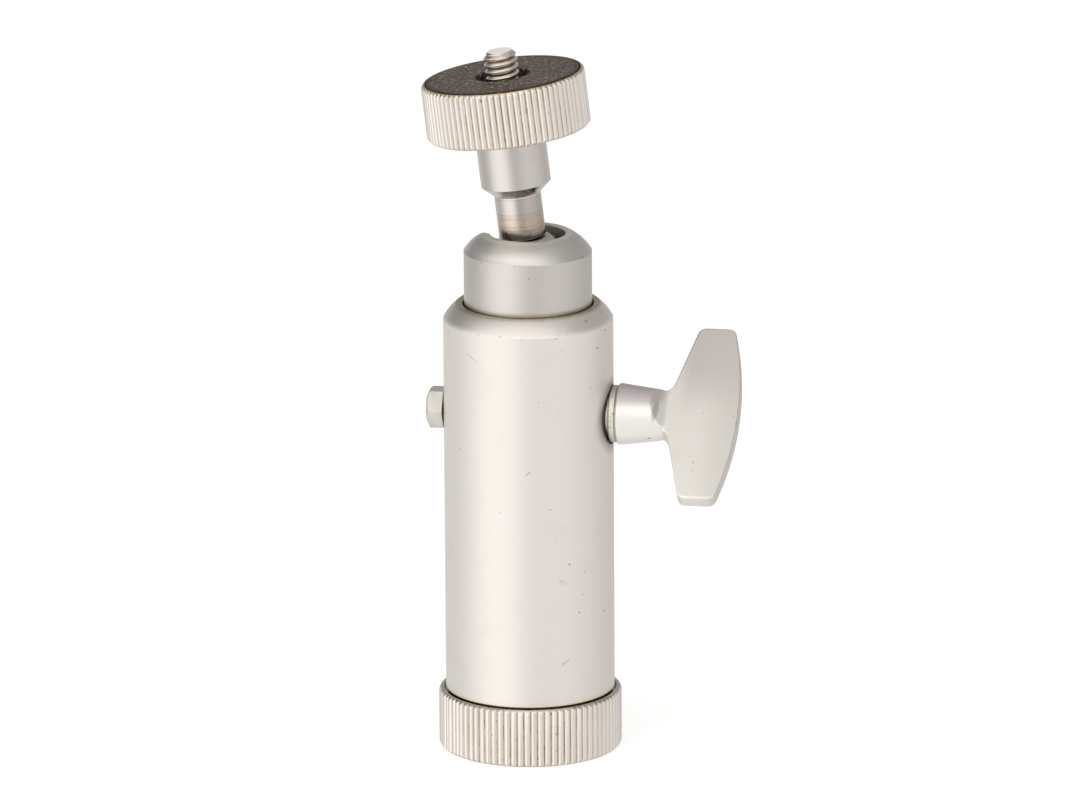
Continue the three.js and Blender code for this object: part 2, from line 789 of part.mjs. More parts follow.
// What leans with the stem, about the ball's centre
const stemGroup = new THREE.Group();
const stemDirection = new THREE.Vector3(-Math.tan(leanLeft), Math.tan(leanBack), 1).normalize();
stemGroup.position.z = ballHeight;
stemGroup.quaternion.setFromUnitVectors(new THREE.Vector3(0, 0, 1), stemDirection);
stemGroup.add(
  part('clamping_ball', makeBall(), steel()),
  part('ball_stem', makeStem(), steel()),
  part('camera_screw', makeCameraScrew(), steel()),
  part('lock_disc', makeLockDisc(), nickel()),
  part('disc_pad', makeDiscPad(), leatherette()),
);
ballHead.add(stemGroup);

export default ballHead;
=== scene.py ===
"""A tall ball head for a camera, dressed for the picture: turned, knurled and plated metal."""
import math
import random
from types import SimpleNamespace

import bmesh
import bpy
from mathutils import Matrix, Vector
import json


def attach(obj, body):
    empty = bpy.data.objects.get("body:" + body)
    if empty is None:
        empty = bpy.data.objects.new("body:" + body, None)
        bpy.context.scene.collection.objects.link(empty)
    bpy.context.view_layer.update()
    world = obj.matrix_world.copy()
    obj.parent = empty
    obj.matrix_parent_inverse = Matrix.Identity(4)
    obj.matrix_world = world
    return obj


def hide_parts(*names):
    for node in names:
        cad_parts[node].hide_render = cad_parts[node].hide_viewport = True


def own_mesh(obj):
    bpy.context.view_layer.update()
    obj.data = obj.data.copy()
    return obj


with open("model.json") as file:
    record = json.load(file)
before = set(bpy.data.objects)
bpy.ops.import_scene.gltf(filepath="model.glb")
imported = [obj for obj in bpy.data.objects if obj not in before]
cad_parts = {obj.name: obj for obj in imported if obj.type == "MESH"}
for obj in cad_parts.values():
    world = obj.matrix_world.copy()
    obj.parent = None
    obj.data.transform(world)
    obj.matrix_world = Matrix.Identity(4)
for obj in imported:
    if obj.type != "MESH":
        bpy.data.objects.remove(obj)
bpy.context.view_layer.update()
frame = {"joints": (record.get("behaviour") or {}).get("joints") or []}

# Camera: a long lens 1.8 m in front of the head and 15 degrees above level.
# It is rolled a third of a degree, as in the photograph, so the head leans a trace to the left.
scene = bpy.context.scene


def in_scene(name, data):
    """A new object in the scene."""
    made = bpy.data.objects.new(name, data)
    scene.collection.objects.link(made)
    return made


looked_at = Vector((0.0021, 0, 0.0653))
view_distance = 1.8
view_elevation = math.radians(15.3)
view_roll = math.radians(-0.335)
back = Vector((0, -math.cos(view_elevation), math.sin(view_elevation)))
camera_data = bpy.data.cameras.new("photo_camera")
camera_data.lens = 322.8
camera_data.sensor_width = 36
camera_data.clip_start = 0.05
camera_data.clip_end = 40
camera = in_scene("photo_camera", camera_data)
camera.rotation_mode = "QUATERNION"
camera.location = looked_at + back * view_distance
level_view = (-back).to_track_quat("-Z", "Y")
camera.rotation_quaternion = level_view @ Matrix.Rotation(view_roll, 3, "Z").to_quaternion()
scene.camera = camera
scene.view_settings.view_transform = "Standard"


# Studio: a white floor, a large soft light at the front left and a broader one overhead.
# The camera sees a white world. Reflections see one with bright and dim sides that is dim
# overhead and behind, which gives the satin metal its upright streaks and its grey tops.
def feed(socket, value):
    """Links a node's output to a socket, or sets the socket to a plain value."""
    if isinstance(value, bpy.types.NodeSocket):
        value.id_data.links.new(value, socket)
    else:
        socket.default_value = value


def node(tree, kind, inputs=None, **settings):
    """A shader node with its settings made and its inputs fed."""
    made = tree.nodes.new(kind)
    for name, value in settings.items():
        setattr(made, name, value)
    for name, value in (inputs or {}).items():
        feed(made.inputs[name], value)
    return made


def maths(operation, *values):
    """The result of a maths node, some of whose values come from nodes."""
    tree = next(value.id_data for value in values if isinstance(value, bpy.types.NodeSocket))
    return node(tree, "ShaderNodeMath", dict(enumerate(values)), operation=operation).outputs[0]


def vector_maths(operation, *values):
    """The results of a vector maths node whose first value comes from a node."""
    inputs = dict(enumerate(values))
    return node(values[0].id_data, "ShaderNodeVectorMath", inputs, operation=operation).outputs


def times(product, *factors):
    """Values multiplied one after another."""
    for factor in factors:
        product = maths("MULTIPLY", product, factor)
    return product


def ramp(value, low, high, from_value=0.0, to_value=1.0):
    """A soft step from one value to another while the input goes from low to high."""
    made = node(value.id_data, "ShaderNodeMapRange",
                {"Value": value, "From Min": low, "From Max": high, "To Min": from_value, "To Max": to_value},
                interpolation_type="SMOOTHSTEP")
    return made.outputs["Result"]


def axes_of(vector):
    """A vector's X, Y and Z."""
    return node(vector.id_data, "ShaderNodeSeparateXYZ", {0: vector}).outputs


world = bpy.data.worlds.new("studio")
scene.world = world
world.use_nodes = True
sky = world.node_tree
sky.nodes.clear()
direction = node(sky, "ShaderNodeTexCoord").outputs["Generated"]
sky_axes = axes_of(direction)
bright_side = (-0.3, -1.0, 0.0)
facing = vector_maths("DOT_PRODUCT", direction, bright_side)["Value"]
behind = maths("ADD", ramp(sky_axes["X"], -0.2, 0.6, 0.26, 0.45), ramp(sky_axes["Z"], 0.7, 0.96, 0.0, 0.24))
above = ramp(facing, -0.14, 0.58, behind, 1.3)

# Degrees from the front, positive to the right, and how bright the horizon is there.
# A colour ramp holds nothing above 1, so the tones go in halved and come out doubled.
horizon_tones = (
    (-180, 0.72), (-157, 0.76), (-121, 0.62), (-98, 0.68), (-84, 0.88), (-70, 1.14), (-56, 1.27),
    (-38, 1.27), (-24, 1.2), (-12, 0.92), (-2, 0.74), (12, 0.69), (28, 0.8), (48, 0.86), (70, 0.81),
    (90, 0.76), (115, 0.63), (150, 0.62), (180, 0.72))
tone_scale = 2.0
round_front = maths("ARCTAN2", sky_axes["X"], maths("MULTIPLY", sky_axes["Y"], -1.0))
horizon = node(sky, "ShaderNodeValToRGB", {"Fac": maths("MULTIPLY_ADD", round_front, 0.5 / math.pi, 0.5)})
stops = horizon.color_ramp.elements
stops.remove(stops[1])
for k, (angle, tone) in enumerate(horizon_tones):
    stop = stops.new(0.5 + angle / 360) if k else stops[0]
    stop.color = (tone / tone_scale, tone / tone_scale, tone / tone_scale, 1)
level = times(horizon.outputs["Color"], tone_scale)
upwards = ramp(sky_axes["Z"], 0.0, 0.24)
brightness = maths("ADD", times(above, upwards), times(level, maths("SUBTRACT", 1.0, upwards)))
seen_by_camera = node(sky, "ShaderNodeLightPath").outputs["Is Camera Ray"]
warm_sky = node(sky, "ShaderNodeBackground", {"Color": (1.0, 0.964, 0.937, 1), "Strength": brightness})
white_sky = node(sky, "ShaderNodeBackground", {"Color": (1, 1, 1, 1), "Strength": 1.02})
sky_parts = {0: seen_by_camera, 1: warm_sky.outputs[0], 2: white_sky.outputs[0]}
sky_mix = node(sky, "ShaderNodeMixShader", sky_parts)
node(sky, "ShaderNodeOutputWorld", {"Surface": sky_mix.outputs[0]})

sweep = bmesh.new()
bmesh.ops.create_grid(sweep, x_segments=1, y_segments=1, size=1.5)
floor_mesh = bpy.data.meshes.new("floor")
sweep.to_mesh(floor_mesh)
sweep.free()
paper = bpy.data.materials.new("white_sweep")
paper.use_nodes = True
for input_name, value in (
        ("Base Color", (0.36, 0.36, 0.36, 1)), ("Roughness", 0.9), ("Specular IOR Level", 0.1),
        ("Emission Color", (1, 1, 1, 1)), ("Emission Strength", 0.74)):
    paper.node_tree.nodes["Principled BSDF"].inputs[input_name].default_value = value
floor_mesh.materials.append(paper)
floor = in_scene("floor", floor_mesh)
floor.visible_glossy = False

lit_place = Vector((0, 0, 0.06))
for light_name, light_place, light_size, light_power in (
        ("key_light", Vector((-0.75, -0.95, 0.75)), (0.7, 0.6), 3.5),
        ("top_light", Vector((0.1, 0.1, 1.3)), (1.2, 1.2), 3)):
    light_data = bpy.data.lights.new(light_name, "AREA")
    light_data.shape = "RECTANGLE"
    light_data.size, light_data.size_y = light_size
    light_data.energy = light_power
    light = in_scene(light_name, light_data)
    light.location = light_place
    light.rotation_mode = "QUATERNION"
    light.rotation_quaternion = (lit_place - light_place).to_track_quat("-Z", "Y")
    light.visible_glossy = False


# Foot: a nickel-plated brass flange with a straight-knurled rim, turned and knurled in one piece.
# Its spigot screws into the barrel's lower end, and its threaded socket takes the tripod's screw.
def rounded(corners, ring=False, steps=3):
    """A turning profile whose corners (radius, height, fillet) are eased, with a close point on each side."""
    points = []
    for i, corner in enumerate(corners):
        here = Vector(corner[:2])
        fillet = corner[2] if len(corner) > 2 else 0
        if not fillet or (not ring and i in (0, len(corners) - 1)):
            points.append(here)
            continue
        before = Vector(corners[i - 1][:2]) - here
        after = Vector(corners[(i + 1) % len(corners)][:2]) - here
        reach = min(fillet / math.tan(before.angle(after) / 2), 0.4 * before.length, 0.4 * after.length)
        hold = 0.2 * reach
        before.normalize()
        after.normalize()
        start, end = here + before * reach, here + after * reach
        points.append(start + before * hold)
        points += curved(start, here, end, steps)
        points.append(end + after * hold)
    return points


def curved(start, corner, end, steps):
    """Points of a soft curve from a start to an end that leans into a corner."""
    shares = (step / steps for step in range(steps + 1))
    return [start * (1 - t) ** 2 + corner * 2 * t * (1 - t) + end * t ** 2 for t in shares]


def turned(profile, steps, ring=False, cuts=0):
    """Spins a profile in millimetres about Z, and parts each step further where a knurl needs it."""
    work = bmesh.new()
    corners = [work.verts.new((point[0], 0, point[1])) for point in profile]
    edges = [work.edges.new(pair) for pair in zip(corners, corners[1:])]
    if ring:
        edges.append(work.edges.new((corners[-1], corners[0])))
    bmesh.ops.spin(work, geom=corners + edges, cent=(0, 0, 0), axis=(0, 0, 1), angle=2 * math.pi,
                   steps=steps, use_merge=True)
    bmesh.ops.remove_doubles(work, verts=work.verts, dist=1e-4)
    if cuts:
        hoops = [e for e in work.edges if abs(e.verts[0].co.z - e.verts[1].co.z) < 1e-5
                 and abs(e.verts[0].co.xy.length - e.verts[1].co.xy.length) < 1e-4]
        bmesh.ops.subdivide_edges(work, edges=hoops, cuts=cuts, use_grid_fill=True)
        half = math.pi / steps
        for vert in work.verts:
            bow_out = math.cos(math.atan2(vert.co.y, vert.co.x) % (2 * half) - half) / math.cos(half)
            vert.co.x *= bow_out
            vert.co.y *= bow_out
    bmesh.ops.recalc_face_normals(work, faces=work.faces)
    return work


def rod(radius, low, high, steps, ease=0):
    """A solid rod along Z, its edges eased if asked."""
    return turned(rounded([(0, low), (radius, low, ease), (radius, high, ease), (0, high)]), steps)


def washer(inner, outer, low, high, eases, ease_steps, steps):
    """A flat ring, with an ease for each corner from the inner lower one outwards and up."""
    corners = zip((inner, outer, outer, inner), (low, low, high, high), eases)
    return turned(rounded(list(corners), ring=True, steps=ease_steps), steps, ring=True)


def kept_within(vert, limit):
    """Brings a point in towards the axis if it is farther out than the limit."""
    reach = math.hypot(vert.co.x, vert.co.y)
    if reach > limit:
        vert.co.x *= limit / reach
        vert.co.y *= limit / reach


def knurled(work, crest, depth, ridges, seed):
    """Presses rounded straight ridges, some of them worn, into everything that reaches past the valleys."""
    most_wear, flatness = 0.35, 2.4
    dice = random.Random(seed)
    wear = [1 - dice.random() ** 4 * most_wear for _ in range(ridges)]
    for vert in work.verts:
        share = (math.atan2(vert.co.y, vert.co.x) / (2 * math.pi) * ridges + 0.5) % ridges
        ridge = wear[int(share)] * (1 - abs(2 * (share % 1) - 1) ** flatness)
        kept_within(vert, crest - depth + depth * ridge)


def threaded(major, minor, pitch, low, high, lead=0.0):
    """A closed rod with a helical thread, in millimetres along Z, its top eased by the lead."""
    per_turn = 30
    turns = math.ceil((high - low) / pitch) + 3
    start = low - 1.5 * pitch
    edge = 0.06 * (major - minor)
    rise = ((minor, 0.0), (minor, 0.14), (minor + edge, 0.17), (major - edge, 0.44), (major, 0.49),
            (major, 0.63), (major - edge, 0.68), (minor + edge, 0.97), (minor, 1.0))
    work = bmesh.new()
    corners = [work.verts.new((reach, 0, start + share * pitch)) for reach, share in rise]
    edges = [work.edges.new(pair) for pair in zip(corners, corners[1:])]
    bmesh.ops.spin(work, geom=corners + edges, cent=(0, 0, 0), axis=(0, 0, 1), dvec=(0, 0, pitch / per_turn),
                   angle=2 * math.pi * turns, steps=per_turn * turns)
    bmesh.ops.remove_doubles(work, verts=work.verts, dist=1e-4)
    for height, keeps_above in ((low, True), (high, False)):
        bmesh.ops.bisect_plane(work, geom=work.verts[:] + work.edges[:] + work.faces[:], dist=1e-5,
                               plane_co=(0, 0, height), plane_no=(0, 0, 1),
                               clear_inner=keeps_above, clear_outer=not keeps_above)
        rim = [e for e in work.edges if e.is_boundary and all(abs(v.co.z - height) < 1e-3 for v in e.verts)]
        bmesh.ops.contextual_create(work, geom=rim)
    for vert in work.verts:
        kept_within(vert, major - max(0.0, vert.co.z - (high - lead)))
    bmesh.ops.recalc_face_normals(work, faces=work.faces)
    return work


def combined(work, tool, how="DIFFERENCE"):
    """Cuts, joins or crosses two closed meshes and frees the tool."""
    bodies = []
    for source in (work, tool):
        mesh = bpy.data.meshes.new("workshop")
        source.to_mesh(mesh)
        bodies.append(in_scene("workshop", mesh))
    tool.free()
    cut = bodies[0].modifiers.new("cut", "BOOLEAN")
    cut.operation, cut.solver, cut.object = how, "EXACT", bodies[1]
    depsgraph = bpy.context.evaluated_depsgraph_get()
    result = bpy.data.meshes.new_from_object(bodies[0].evaluated_get(depsgraph))
    work.clear()
    work.from_mesh(result)
    bpy.data.meshes.remove(result)
    for body in bodies:
        mesh = body.data
        bpy.data.objects.remove(body)
        bpy.data.meshes.remove(mesh)
    bmesh.ops.remove_doubles(work, verts=work.verts, dist=1e-5)


def finished(name, work, place, finish, body, cad_node, crease=38):
    """Brings a mesh from millimetres to its place in metres and gives it its finish and its body."""
    work.transform(place @ Matrix.Scale(0.001, 4))
    mesh = bpy.data.meshes.new(name)
    work.to_mesh(mesh)
    work.free()
    mesh.shade_smooth()
    mesh.set_sharp_from_angle(angle=math.radians(crease))
    feed(finish.shader.inputs["Base Color"], finish.colour)
    feed(finish.shader.inputs["Roughness"], finish.rough)
    mesh.materials.append(finish.material)
    piece = in_scene(name, mesh)
    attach(piece, body)
    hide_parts(cad_node)
    return piece


def new_group(name, inputs, *outputs):
    """A node group with a Vector, more inputs (a number, or None for a vector) and float outputs."""
    tree = bpy.data.node_groups.new(name, "ShaderNodeTree")
    for socket, value in {"Vector": None, **inputs}.items():
        kind = "NodeSocketVector" if value is None else "NodeSocketFloat"
        made = tree.interface.new_socket(name=socket, in_out="INPUT", socket_type=kind)
        if value is not None:
            made.default_value = value
    for socket in outputs:
        tree.interface.new_socket(name=socket, in_out="OUTPUT", socket_type="NodeSocketFloat")
    return tree, tree.nodes.new("NodeGroupInput").outputs, tree.nodes.new("NodeGroupOutput").inputs


def pattern(group, vector, **inputs):
    """What a node group gives for a vector in millimetres."""
    return node(vector.id_data, "ShaderNodeGroup", {"Vector": vector, **inputs}, node_tree=group).outputs


def noise(vector, scale, detail, roughness=0.5):
    """A noise texture's outputs."""
    inputs = {"Vector": vector, "Scale": scale, "Detail": detail, "Roughness": roughness}
    return node(vector.id_data, "ShaderNodeTexNoise", inputs).outputs


# Place on a turned piece: distance from its axis, height along it
place_group, given, result = new_group("place_on_turning", {}, "Radius", "Height")
parts = axes_of(given["Vector"])
flat = node(place_group, "ShaderNodeCombineXYZ", {"X": parts["X"], "Y": parts["Y"]})
feed(result["Radius"], vector_maths("LENGTH", flat.outputs[0])["Value"])
feed(result["Height"], parts["Z"])


def on_turning(vector):
    """A turned piece's radius and height at a vector."""
    found = pattern(place_group, vector)
    return found["Radius"], found["Height"]


# Blotches: soft stains, of a given size in millimetres
blotch_group, given, result = new_group("blotches", {"Size": 5.0, "Start": 0.5, "Full": 0.65}, "Mask")
spread = vector_maths("DIVIDE", given["Vector"], given["Size"])["Vector"]
cloud = noise(spread, 1.0, 4.0, 0.6)
feed(result["Mask"], ramp(cloud["Fac"], given["Start"], given["Full"]))


def blotches(vector, size, start, full):
    """A mask of stains, which start and are full at the given noise."""
    return pattern(blotch_group, vector, Size=size, Start=start, Full=full)["Mask"]


# Pits: small dark specks, of which only a share of the places carries one
pit_group, given, result = new_group("pits", {"Spacing": 1.0, "Size": 0.2, "Share": 0.2}, "Mask")
spread = vector_maths("DIVIDE", given["Vector"], given["Spacing"])["Vector"]
shaken = noise(spread, 3.0, 2.0)["Color"]
moved = vector_maths("MULTIPLY_ADD", shaken, (0.35, 0.35, 0.35), spread)["Vector"]
cells = node(pit_group, "ShaderNodeTexVoronoi", {"Vector": moved, "Scale": 1.0}, feature="F1")
chance = node(pit_group, "ShaderNodeSeparateColor", {0: cells.outputs["Color"]})
carries_one = maths("LESS_THAN", chance.outputs[0], given["Share"])
own_size = times(given["Size"], chance.outputs[1])
speck = ramp(cells.outputs["Distance"], own_size, times(own_size, 0.4))
feed(result["Mask"], times(speck, carries_one))


def pits(vector, spacing, size, share):
    """A mask of specks, with their spacing and greatest size in millimetres."""
    return pattern(pit_group, vector, Spacing=spacing, Size=size, Share=share)["Mask"]


# Scratches: short hairlines in two directions, of which only a few show
scratch_group, given, result = new_group("scratches", {"Amount": 0.5}, "Mask")
hairlines = []
for turn_x, turn_z in ((0.5, 0.3), (-0.9, 1.2)):
    turn = node(scratch_group, "ShaderNodeMapping",
                {"Vector": given["Vector"], "Rotation": (turn_x, 0.2, turn_z), "Scale": (0.14, 4.5, 4.5)})
    streak = ramp(noise(turn.outputs[0], 1.0, 1.0)["Fac"], 0.735, 0.76)
    patch = ramp(noise(given["Vector"], 0.16, 2.0)["Fac"], 0.45, 0.62)
    hairlines.append(times(streak, patch))
feed(result["Mask"], times(maths("MAXIMUM", *hairlines), given["Amount"]))

# A single mark: one scratch or pit of its own length, width and slope, seen square on from the front
mark_group, given, result = new_group("single_mark", {"Place": None, "Turn": None, "Reach": None}, "Mask")
laid = node(mark_group, "ShaderNodeMapping",
            {"Vector": given["Vector"], "Location": given["Place"], "Rotation": given["Turn"],
             "Scale": given["Reach"]}, vector_type="TEXTURE")
feed(result["Mask"], ramp(vector_maths("LENGTH", laid.outputs[0])["Value"], 1.0, 0.45))


def marked(vector, marks, front=-12):
    """A mask of marks: place across and up, half length, half width, slope in degrees, strength."""
    mark_depth, total = 12, None
    for x, z, length, width, slope, strength in marks:
        mask = pattern(mark_group, vector, Place=(x, front, z), Turn=(0, -math.radians(slope), 0),
                       Reach=(length, mark_depth, width))
        mask = times(mask["Mask"], strength)
        total = mask if total is None else maths("MAXIMUM", total, mask)
    return total


# Turning marks: fine rings round a lathe-turned piece
ring_group, given, result = new_group("turning_marks", {"Pitch": 0.25}, "Height")
radius, height = on_turning(given["Vector"])
along = node(ring_group, "ShaderNodeCombineXYZ",
             {"X": maths("DIVIDE", radius, given["Pitch"]), "Z": maths("DIVIDE", height, given["Pitch"])})
feed(result["Height"], noise(along.outputs[0], 1.0, 3.0, 0.7)["Fac"])


def turning_marks(vector, pitch):
    """The height of a lathe's rings, from 0 to 1."""
    return pattern(ring_group, vector, Pitch=pitch)["Height"]


def seen_from(material, place):
    """A vector in millimetres from the origin of a place and along its axes."""
    position = node(material.node_tree, "ShaderNodeTexCoord").outputs["Object"]
    mapping = node(material.node_tree, "ShaderNodeMapping",
                   {"Vector": position, "Location": place.to_translation(), "Rotation": place.to_euler(),
                    "Scale": (0.001, 0.001, 0.001)}, vector_type="TEXTURE")
    return mapping.outputs[0]


def new_finish(name, place, colour):
    """A material in the making, with its colour so far and a vector from the piece's own place."""
    material = bpy.data.materials.new(name)
    material.use_nodes = True
    shader = material.node_tree.nodes["Principled BSDF"]
    own = seen_from(material, place)
    return SimpleNamespace(material=material, shader=shader, own=own, colour=colour)


def tint(finish, mask, over, strength=None):
    """Lays a colour over a finish where the mask says, at full or less strength."""
    mask = mask if strength is None else times(mask, strength)
    mix = node(mask.id_data, "ShaderNodeMix", {0: mask}, data_type="RGBA")
    for socket, value in ((6, finish.colour), (7, over)):
        feed(mix.inputs[socket], (*value, 1) if isinstance(value, tuple) else value)
    finish.colour = mix.outputs[2]


def bumped(finish, relief):
    """Gives a finish its relief, in millimetres."""
    bump = node(relief.id_data, "ShaderNodeBump", {"Height": relief, "Distance": 0.001, "Strength": 1.0})
    feed(finish.shader.inputs["Normal"], bump.outputs[0])


def plated_metal(name, place, plate, roughness, pitch=0.3, marks=0.004, pit_share=0.1, scratch=0.5,
                 stain=0.12, stain_colour=(0.45, 0.4, 0.33), metallic=1.0):
    """Satin plate with faint turning marks, stains, pits and hairlines."""
    metal = new_finish(name, place, plate)
    rings = turning_marks(metal.own, pitch)
    stains = blotches(metal.own, 7.0, 0.5, 0.8)
    grain = blotches(metal.own, 0.22, 0.3, 0.7)
    specks = pits(metal.own, 1.3, 0.16, pit_share)
    hairs = pattern(scratch_group, metal.own, Amount=scratch)["Mask"]
    tint(metal, stains, stain_colour, stain)
    tint(metal, grain, (0.5, 0.48, 0.45), 0.05)
    tint(metal, specks, (0.16, 0.13, 0.11), 0.65)
    tint(metal, hairs, (0.32, 0.29, 0.26), 0.35)
    metal.shader.inputs["Metallic"].default_value = metallic
    metal.rough = maths("ADD", maths("ADD", times(rings, 0.08), times(stains, 0.06)), roughness - 0.05)
    relief = maths("SUBTRACT", times(rings, marks), times(specks, 0.06))
    relief = maths("SUBTRACT", relief, times(hairs, 0.02))
    bumped(metal, maths("ADD", relief, times(grain, marks)))
    return metal


def knurl_metal(name, place, crest, depth, low, high, top_wear_and_shade, well=0.0):
    """Bright nickel on the ridges, brown lacquer between them, worn lower ends, top ends in a given colour
    (worn brass on the disc, painted shade on the foot's chamfer), and painted shade on a well's floor.
    """
    metal = plated_metal(name, place, (0.88, 0.845, 0.79), 0.34, marks=0.002, pit_share=0.2, scratch=0.8)
    radius, height = on_turning(metal.own)
    patches = blotches(metal.own, 4.0, 0.35, 0.7)
    on_rim = ramp(radius, crest - depth - 0.12, crest - depth - 0.02)
    valley = times(ramp(radius, crest - 0.6 * depth, crest - depth), on_rim)
    lacquer = times(valley, ramp(patches, 0.0, 1.0, 0.35, 1.0))
    tint(metal, lacquer, (0.5, 0.38, 0.24))
    tint(metal, times(lacquer, blotches(metal.own, 0.8, 0.58, 0.7)), (0.08, 0.055, 0.035))
    tint(metal, times(pits(metal.own, 1.0, 0.34, 0.12), on_rim), (0.12, 0.09, 0.065), 0.6)
    top_edge = ramp(height, high - 0.55, high - 0.1)
    low_edge = ramp(height, low + 0.55, low + 0.1)
    worn = times(on_rim, ramp(patches, 0.0, 1.0, 0.3, 0.9))
    tint(metal, times(low_edge, worn), (0.62, 0.47, 0.24), 0.4)
    # The top ends take the given colour: wear on the disc, painted shade on the foot's chamfer.
    tint(metal, times(top_edge, worn), top_wear_and_shade)
    if well:
        # Painted shade: the boss and bore in the well round the screw are darkened.
        well_shade = times(ramp(radius, well + 0.1, well), ramp(height, high - 3, high - 2.5))
        tint(metal, well_shade, (0.13, 0.1, 0.075))
    metal.rough = maths("ADD", metal.rough, times(lacquer, 0.25))
    return metal


at_axis = Matrix.Identity(4)
wide_pitch, small_pitch = 1.5875, 1.27  # the two standard threads, 16 and 20 turns to the inch
foot_crest, foot_depth, foot_ridges, foot_height = 17.1, 0.5, 82, 11.0
barrel_seat, spigot_outer, spigot_inner, spigot_top = 10, 13.3, 10.3, 19
foot_chamfer = [(foot_crest - foot_depth * k / 5, foot_height - 0.58 + 0.55 * k / 5) for k in range(6)]
foot_profile = rounded([
    (0, 0), (foot_crest - foot_depth, 0, 0.15), (foot_crest, 0.5, 0.35), *foot_chamfer,
    (16.54, foot_height, 0.03), (16.1, foot_height, 0.1), (16.1, barrel_seat), (spigot_outer, barrel_seat),
    (spigot_outer, spigot_top - 0.8, 0.1), (spigot_outer - 0.8, spigot_top, 0.1),
    (spigot_inner, spigot_top, 0.1), (spigot_inner, foot_height), (0, foot_height)])
foot_work = turned(foot_profile, foot_ridges, cuts=11)
knurled(foot_work, foot_crest, foot_depth, foot_ridges, 11)
combined(foot_work, threaded(4.98, 4.5, wide_pitch, -1, 12.5))
# The foot's top ends get dark grey: painted shade on its top chamfer, not wear.
foot_finish = knurl_metal("nickel_knurl_foot", at_axis, foot_crest, foot_depth, 0, foot_height,
                          (0.36, 0.335, 0.3))
finished("foot_turned", foot_work, at_axis, foot_finish, "base", "foot")


# Reducing bush: a slotted steel bush that screws into the foot's socket,
# so that the smaller of the two tripod screws fits as well.
def block(centre, size):
    """A closed box, for cutting."""
    work = bmesh.new()
    bmesh.ops.create_cube(work, size=1, matrix=Matrix.Translation(centre) @ Matrix.Diagonal((*size, 1)))
    return work


bush_low, bush_top = 0.5, 9.0
bush_work = threaded(4.42, 4.0, wide_pitch, bush_low, bush_top, lead=0.5)
combined(bush_work, threaded(3.17, 2.72, small_pitch, -1, bush_top + 1))
combined(bush_work, block((0, 0, 1.2), (12, 1.2, 1.6)))
bush_finish = plated_metal("bush_steel", at_axis, (0.52, 0.5, 0.47), 0.34, stain=0.4)
finished("reducing_bush_threaded", bush_work, at_axis, bush_finish, "base", "reducer_bush")

# Barrel: one drawn brass tube with an inturned, rounded lip, satin-chromed outside.
# Bored across for the shaft's bushes, with a spot face for each. Its lower edge is worn
# to the brass above a thin neck, which is painted dark as shade.
key_height, key_angle = 64.3, math.radians(-9.5)
key_turned = Matrix.Rotation(key_angle, 4, "Z")
key_place = Matrix.Translation((0, 0, key_height / 1000)) @ key_turned
lay_along_key = Matrix.Rotation(math.pi / 2, 4, "Y")
key_turning = key_place @ lay_along_key


def across(radius, start, end):
    """A rod along the key's axis, in the barrel's millimetres, for cutting."""
    cutter = rod(radius, start, end, 96)
    cutter.transform(Matrix.Translation((0, 0, key_height)) @ key_turned @ lay_along_key)
    return cutter


def bulged(low, high, bulge, steps):
    """Points between two profile points on a shallow outward curve."""
    start, end = Vector(low), Vector(high)
    out = Vector((end.y - start.y, start.x - end.x)).normalized() * 4 * bulge
    return [start.lerp(end, k / steps) + out * (k / steps) * (1 - k / steps) for k in range(1, steps)]


barrel_outer, barrel_bore, lip_bore = 15.8, 13.6, 12.2
barrel_low, lip_under = 10, 80.5
lip_foot, lip_top = (barrel_outer, 82.2), (13.3, 85.1)
key_bore, far_bore = 4.7, 3.7
barrel_profile = rounded([
    (barrel_bore, barrel_low, 0.1), (15.4, barrel_low, 0.1), (15.4, 11.13), (15.65, 11.17),
    (barrel_outer, 11.33, 0.05), (*lip_foot, 0.25), *bulged(lip_foot, lip_top, 0.2, 8), (*lip_top, 0.2),
    (lip_bore, lip_top[1], 0.12), (lip_bore, lip_under, 0.1), (barrel_bore, lip_under)], ring=True)
barrel_work = turned(barrel_profile, 192, ring=True)
for bore in ((key_bore, 0, 25), (5.65, 15.3, 25), (far_bore, -25, 0), (4.34, -25, -15.5)):
    combined(barrel_work, across(*bore))
mark_dark = (0.12, 0.1, 0.09)
metal = plated_metal("satin_chrome_barrel", at_axis, (0.785, 0.763, 0.73), 0.42, pitch=0.5, pit_share=0.04,
                     scratch=0.3, stain=0.1)
own = metal.own
radius, height = on_turning(own)
barrel_marks = marked(own, (
    (-0.24, 56.43, 1.09, 0.1, 44, 0.85), (-10.29, 77.54, 1.57, 0.09, -37, 0.45),
    (-5.5, 48.74, 0.18, 0.16, 0, 0.55), (3.89, 49.4, 0.22, 0.18, 0, 0.7),
    (12.77, 78.69, 0.32, 0.2, -30, 0.6), (1.79, 70.04, 0.28, 0.13, 40, 0.5),
    (-12.85, 59.56, 0.3, 0.13, -60, 0.5), (7.39, 38.46, 0.24, 0.2, 60, 0.8),
    (9.21, 28.84, 0.22, 0.2, 0, 0.75), (9.97, 32.15, 0.37, 0.09, -45, 0.45),
    (13.88, 27.63, 0.33, 0.3, 30, 0.35), (6.28, 19.48, 0.63, 0.13, 45, 0.55),
    (7.02, 19.95, 0.56, 0.11, 50, 0.5), (7.71, 27.67, 0.15, 0.13, 0, 0.4),
    (6.3, 79.73, 0.26, 0.13, 0, 0.4), (13.65, 84.2, 0.22, 0.22, 0, 0.85),
    (14.21, 81.41, 0.22, 0.2, 0, 0.85), (10.67, 83.96, 0.48, 0.12, -30, 0.6),
    (5.1, 82, 0.34, 0.12, -10, 0.7), (-1.2, 82.1, 0.3, 0.1, 5, 0.4)))
barrel_stain = marked(own, ((6.0, 35.38, 0.8, 0.62, -30, 0.55), (6.7, 34.9, 0.5, 0.35, 20, 0.5)))
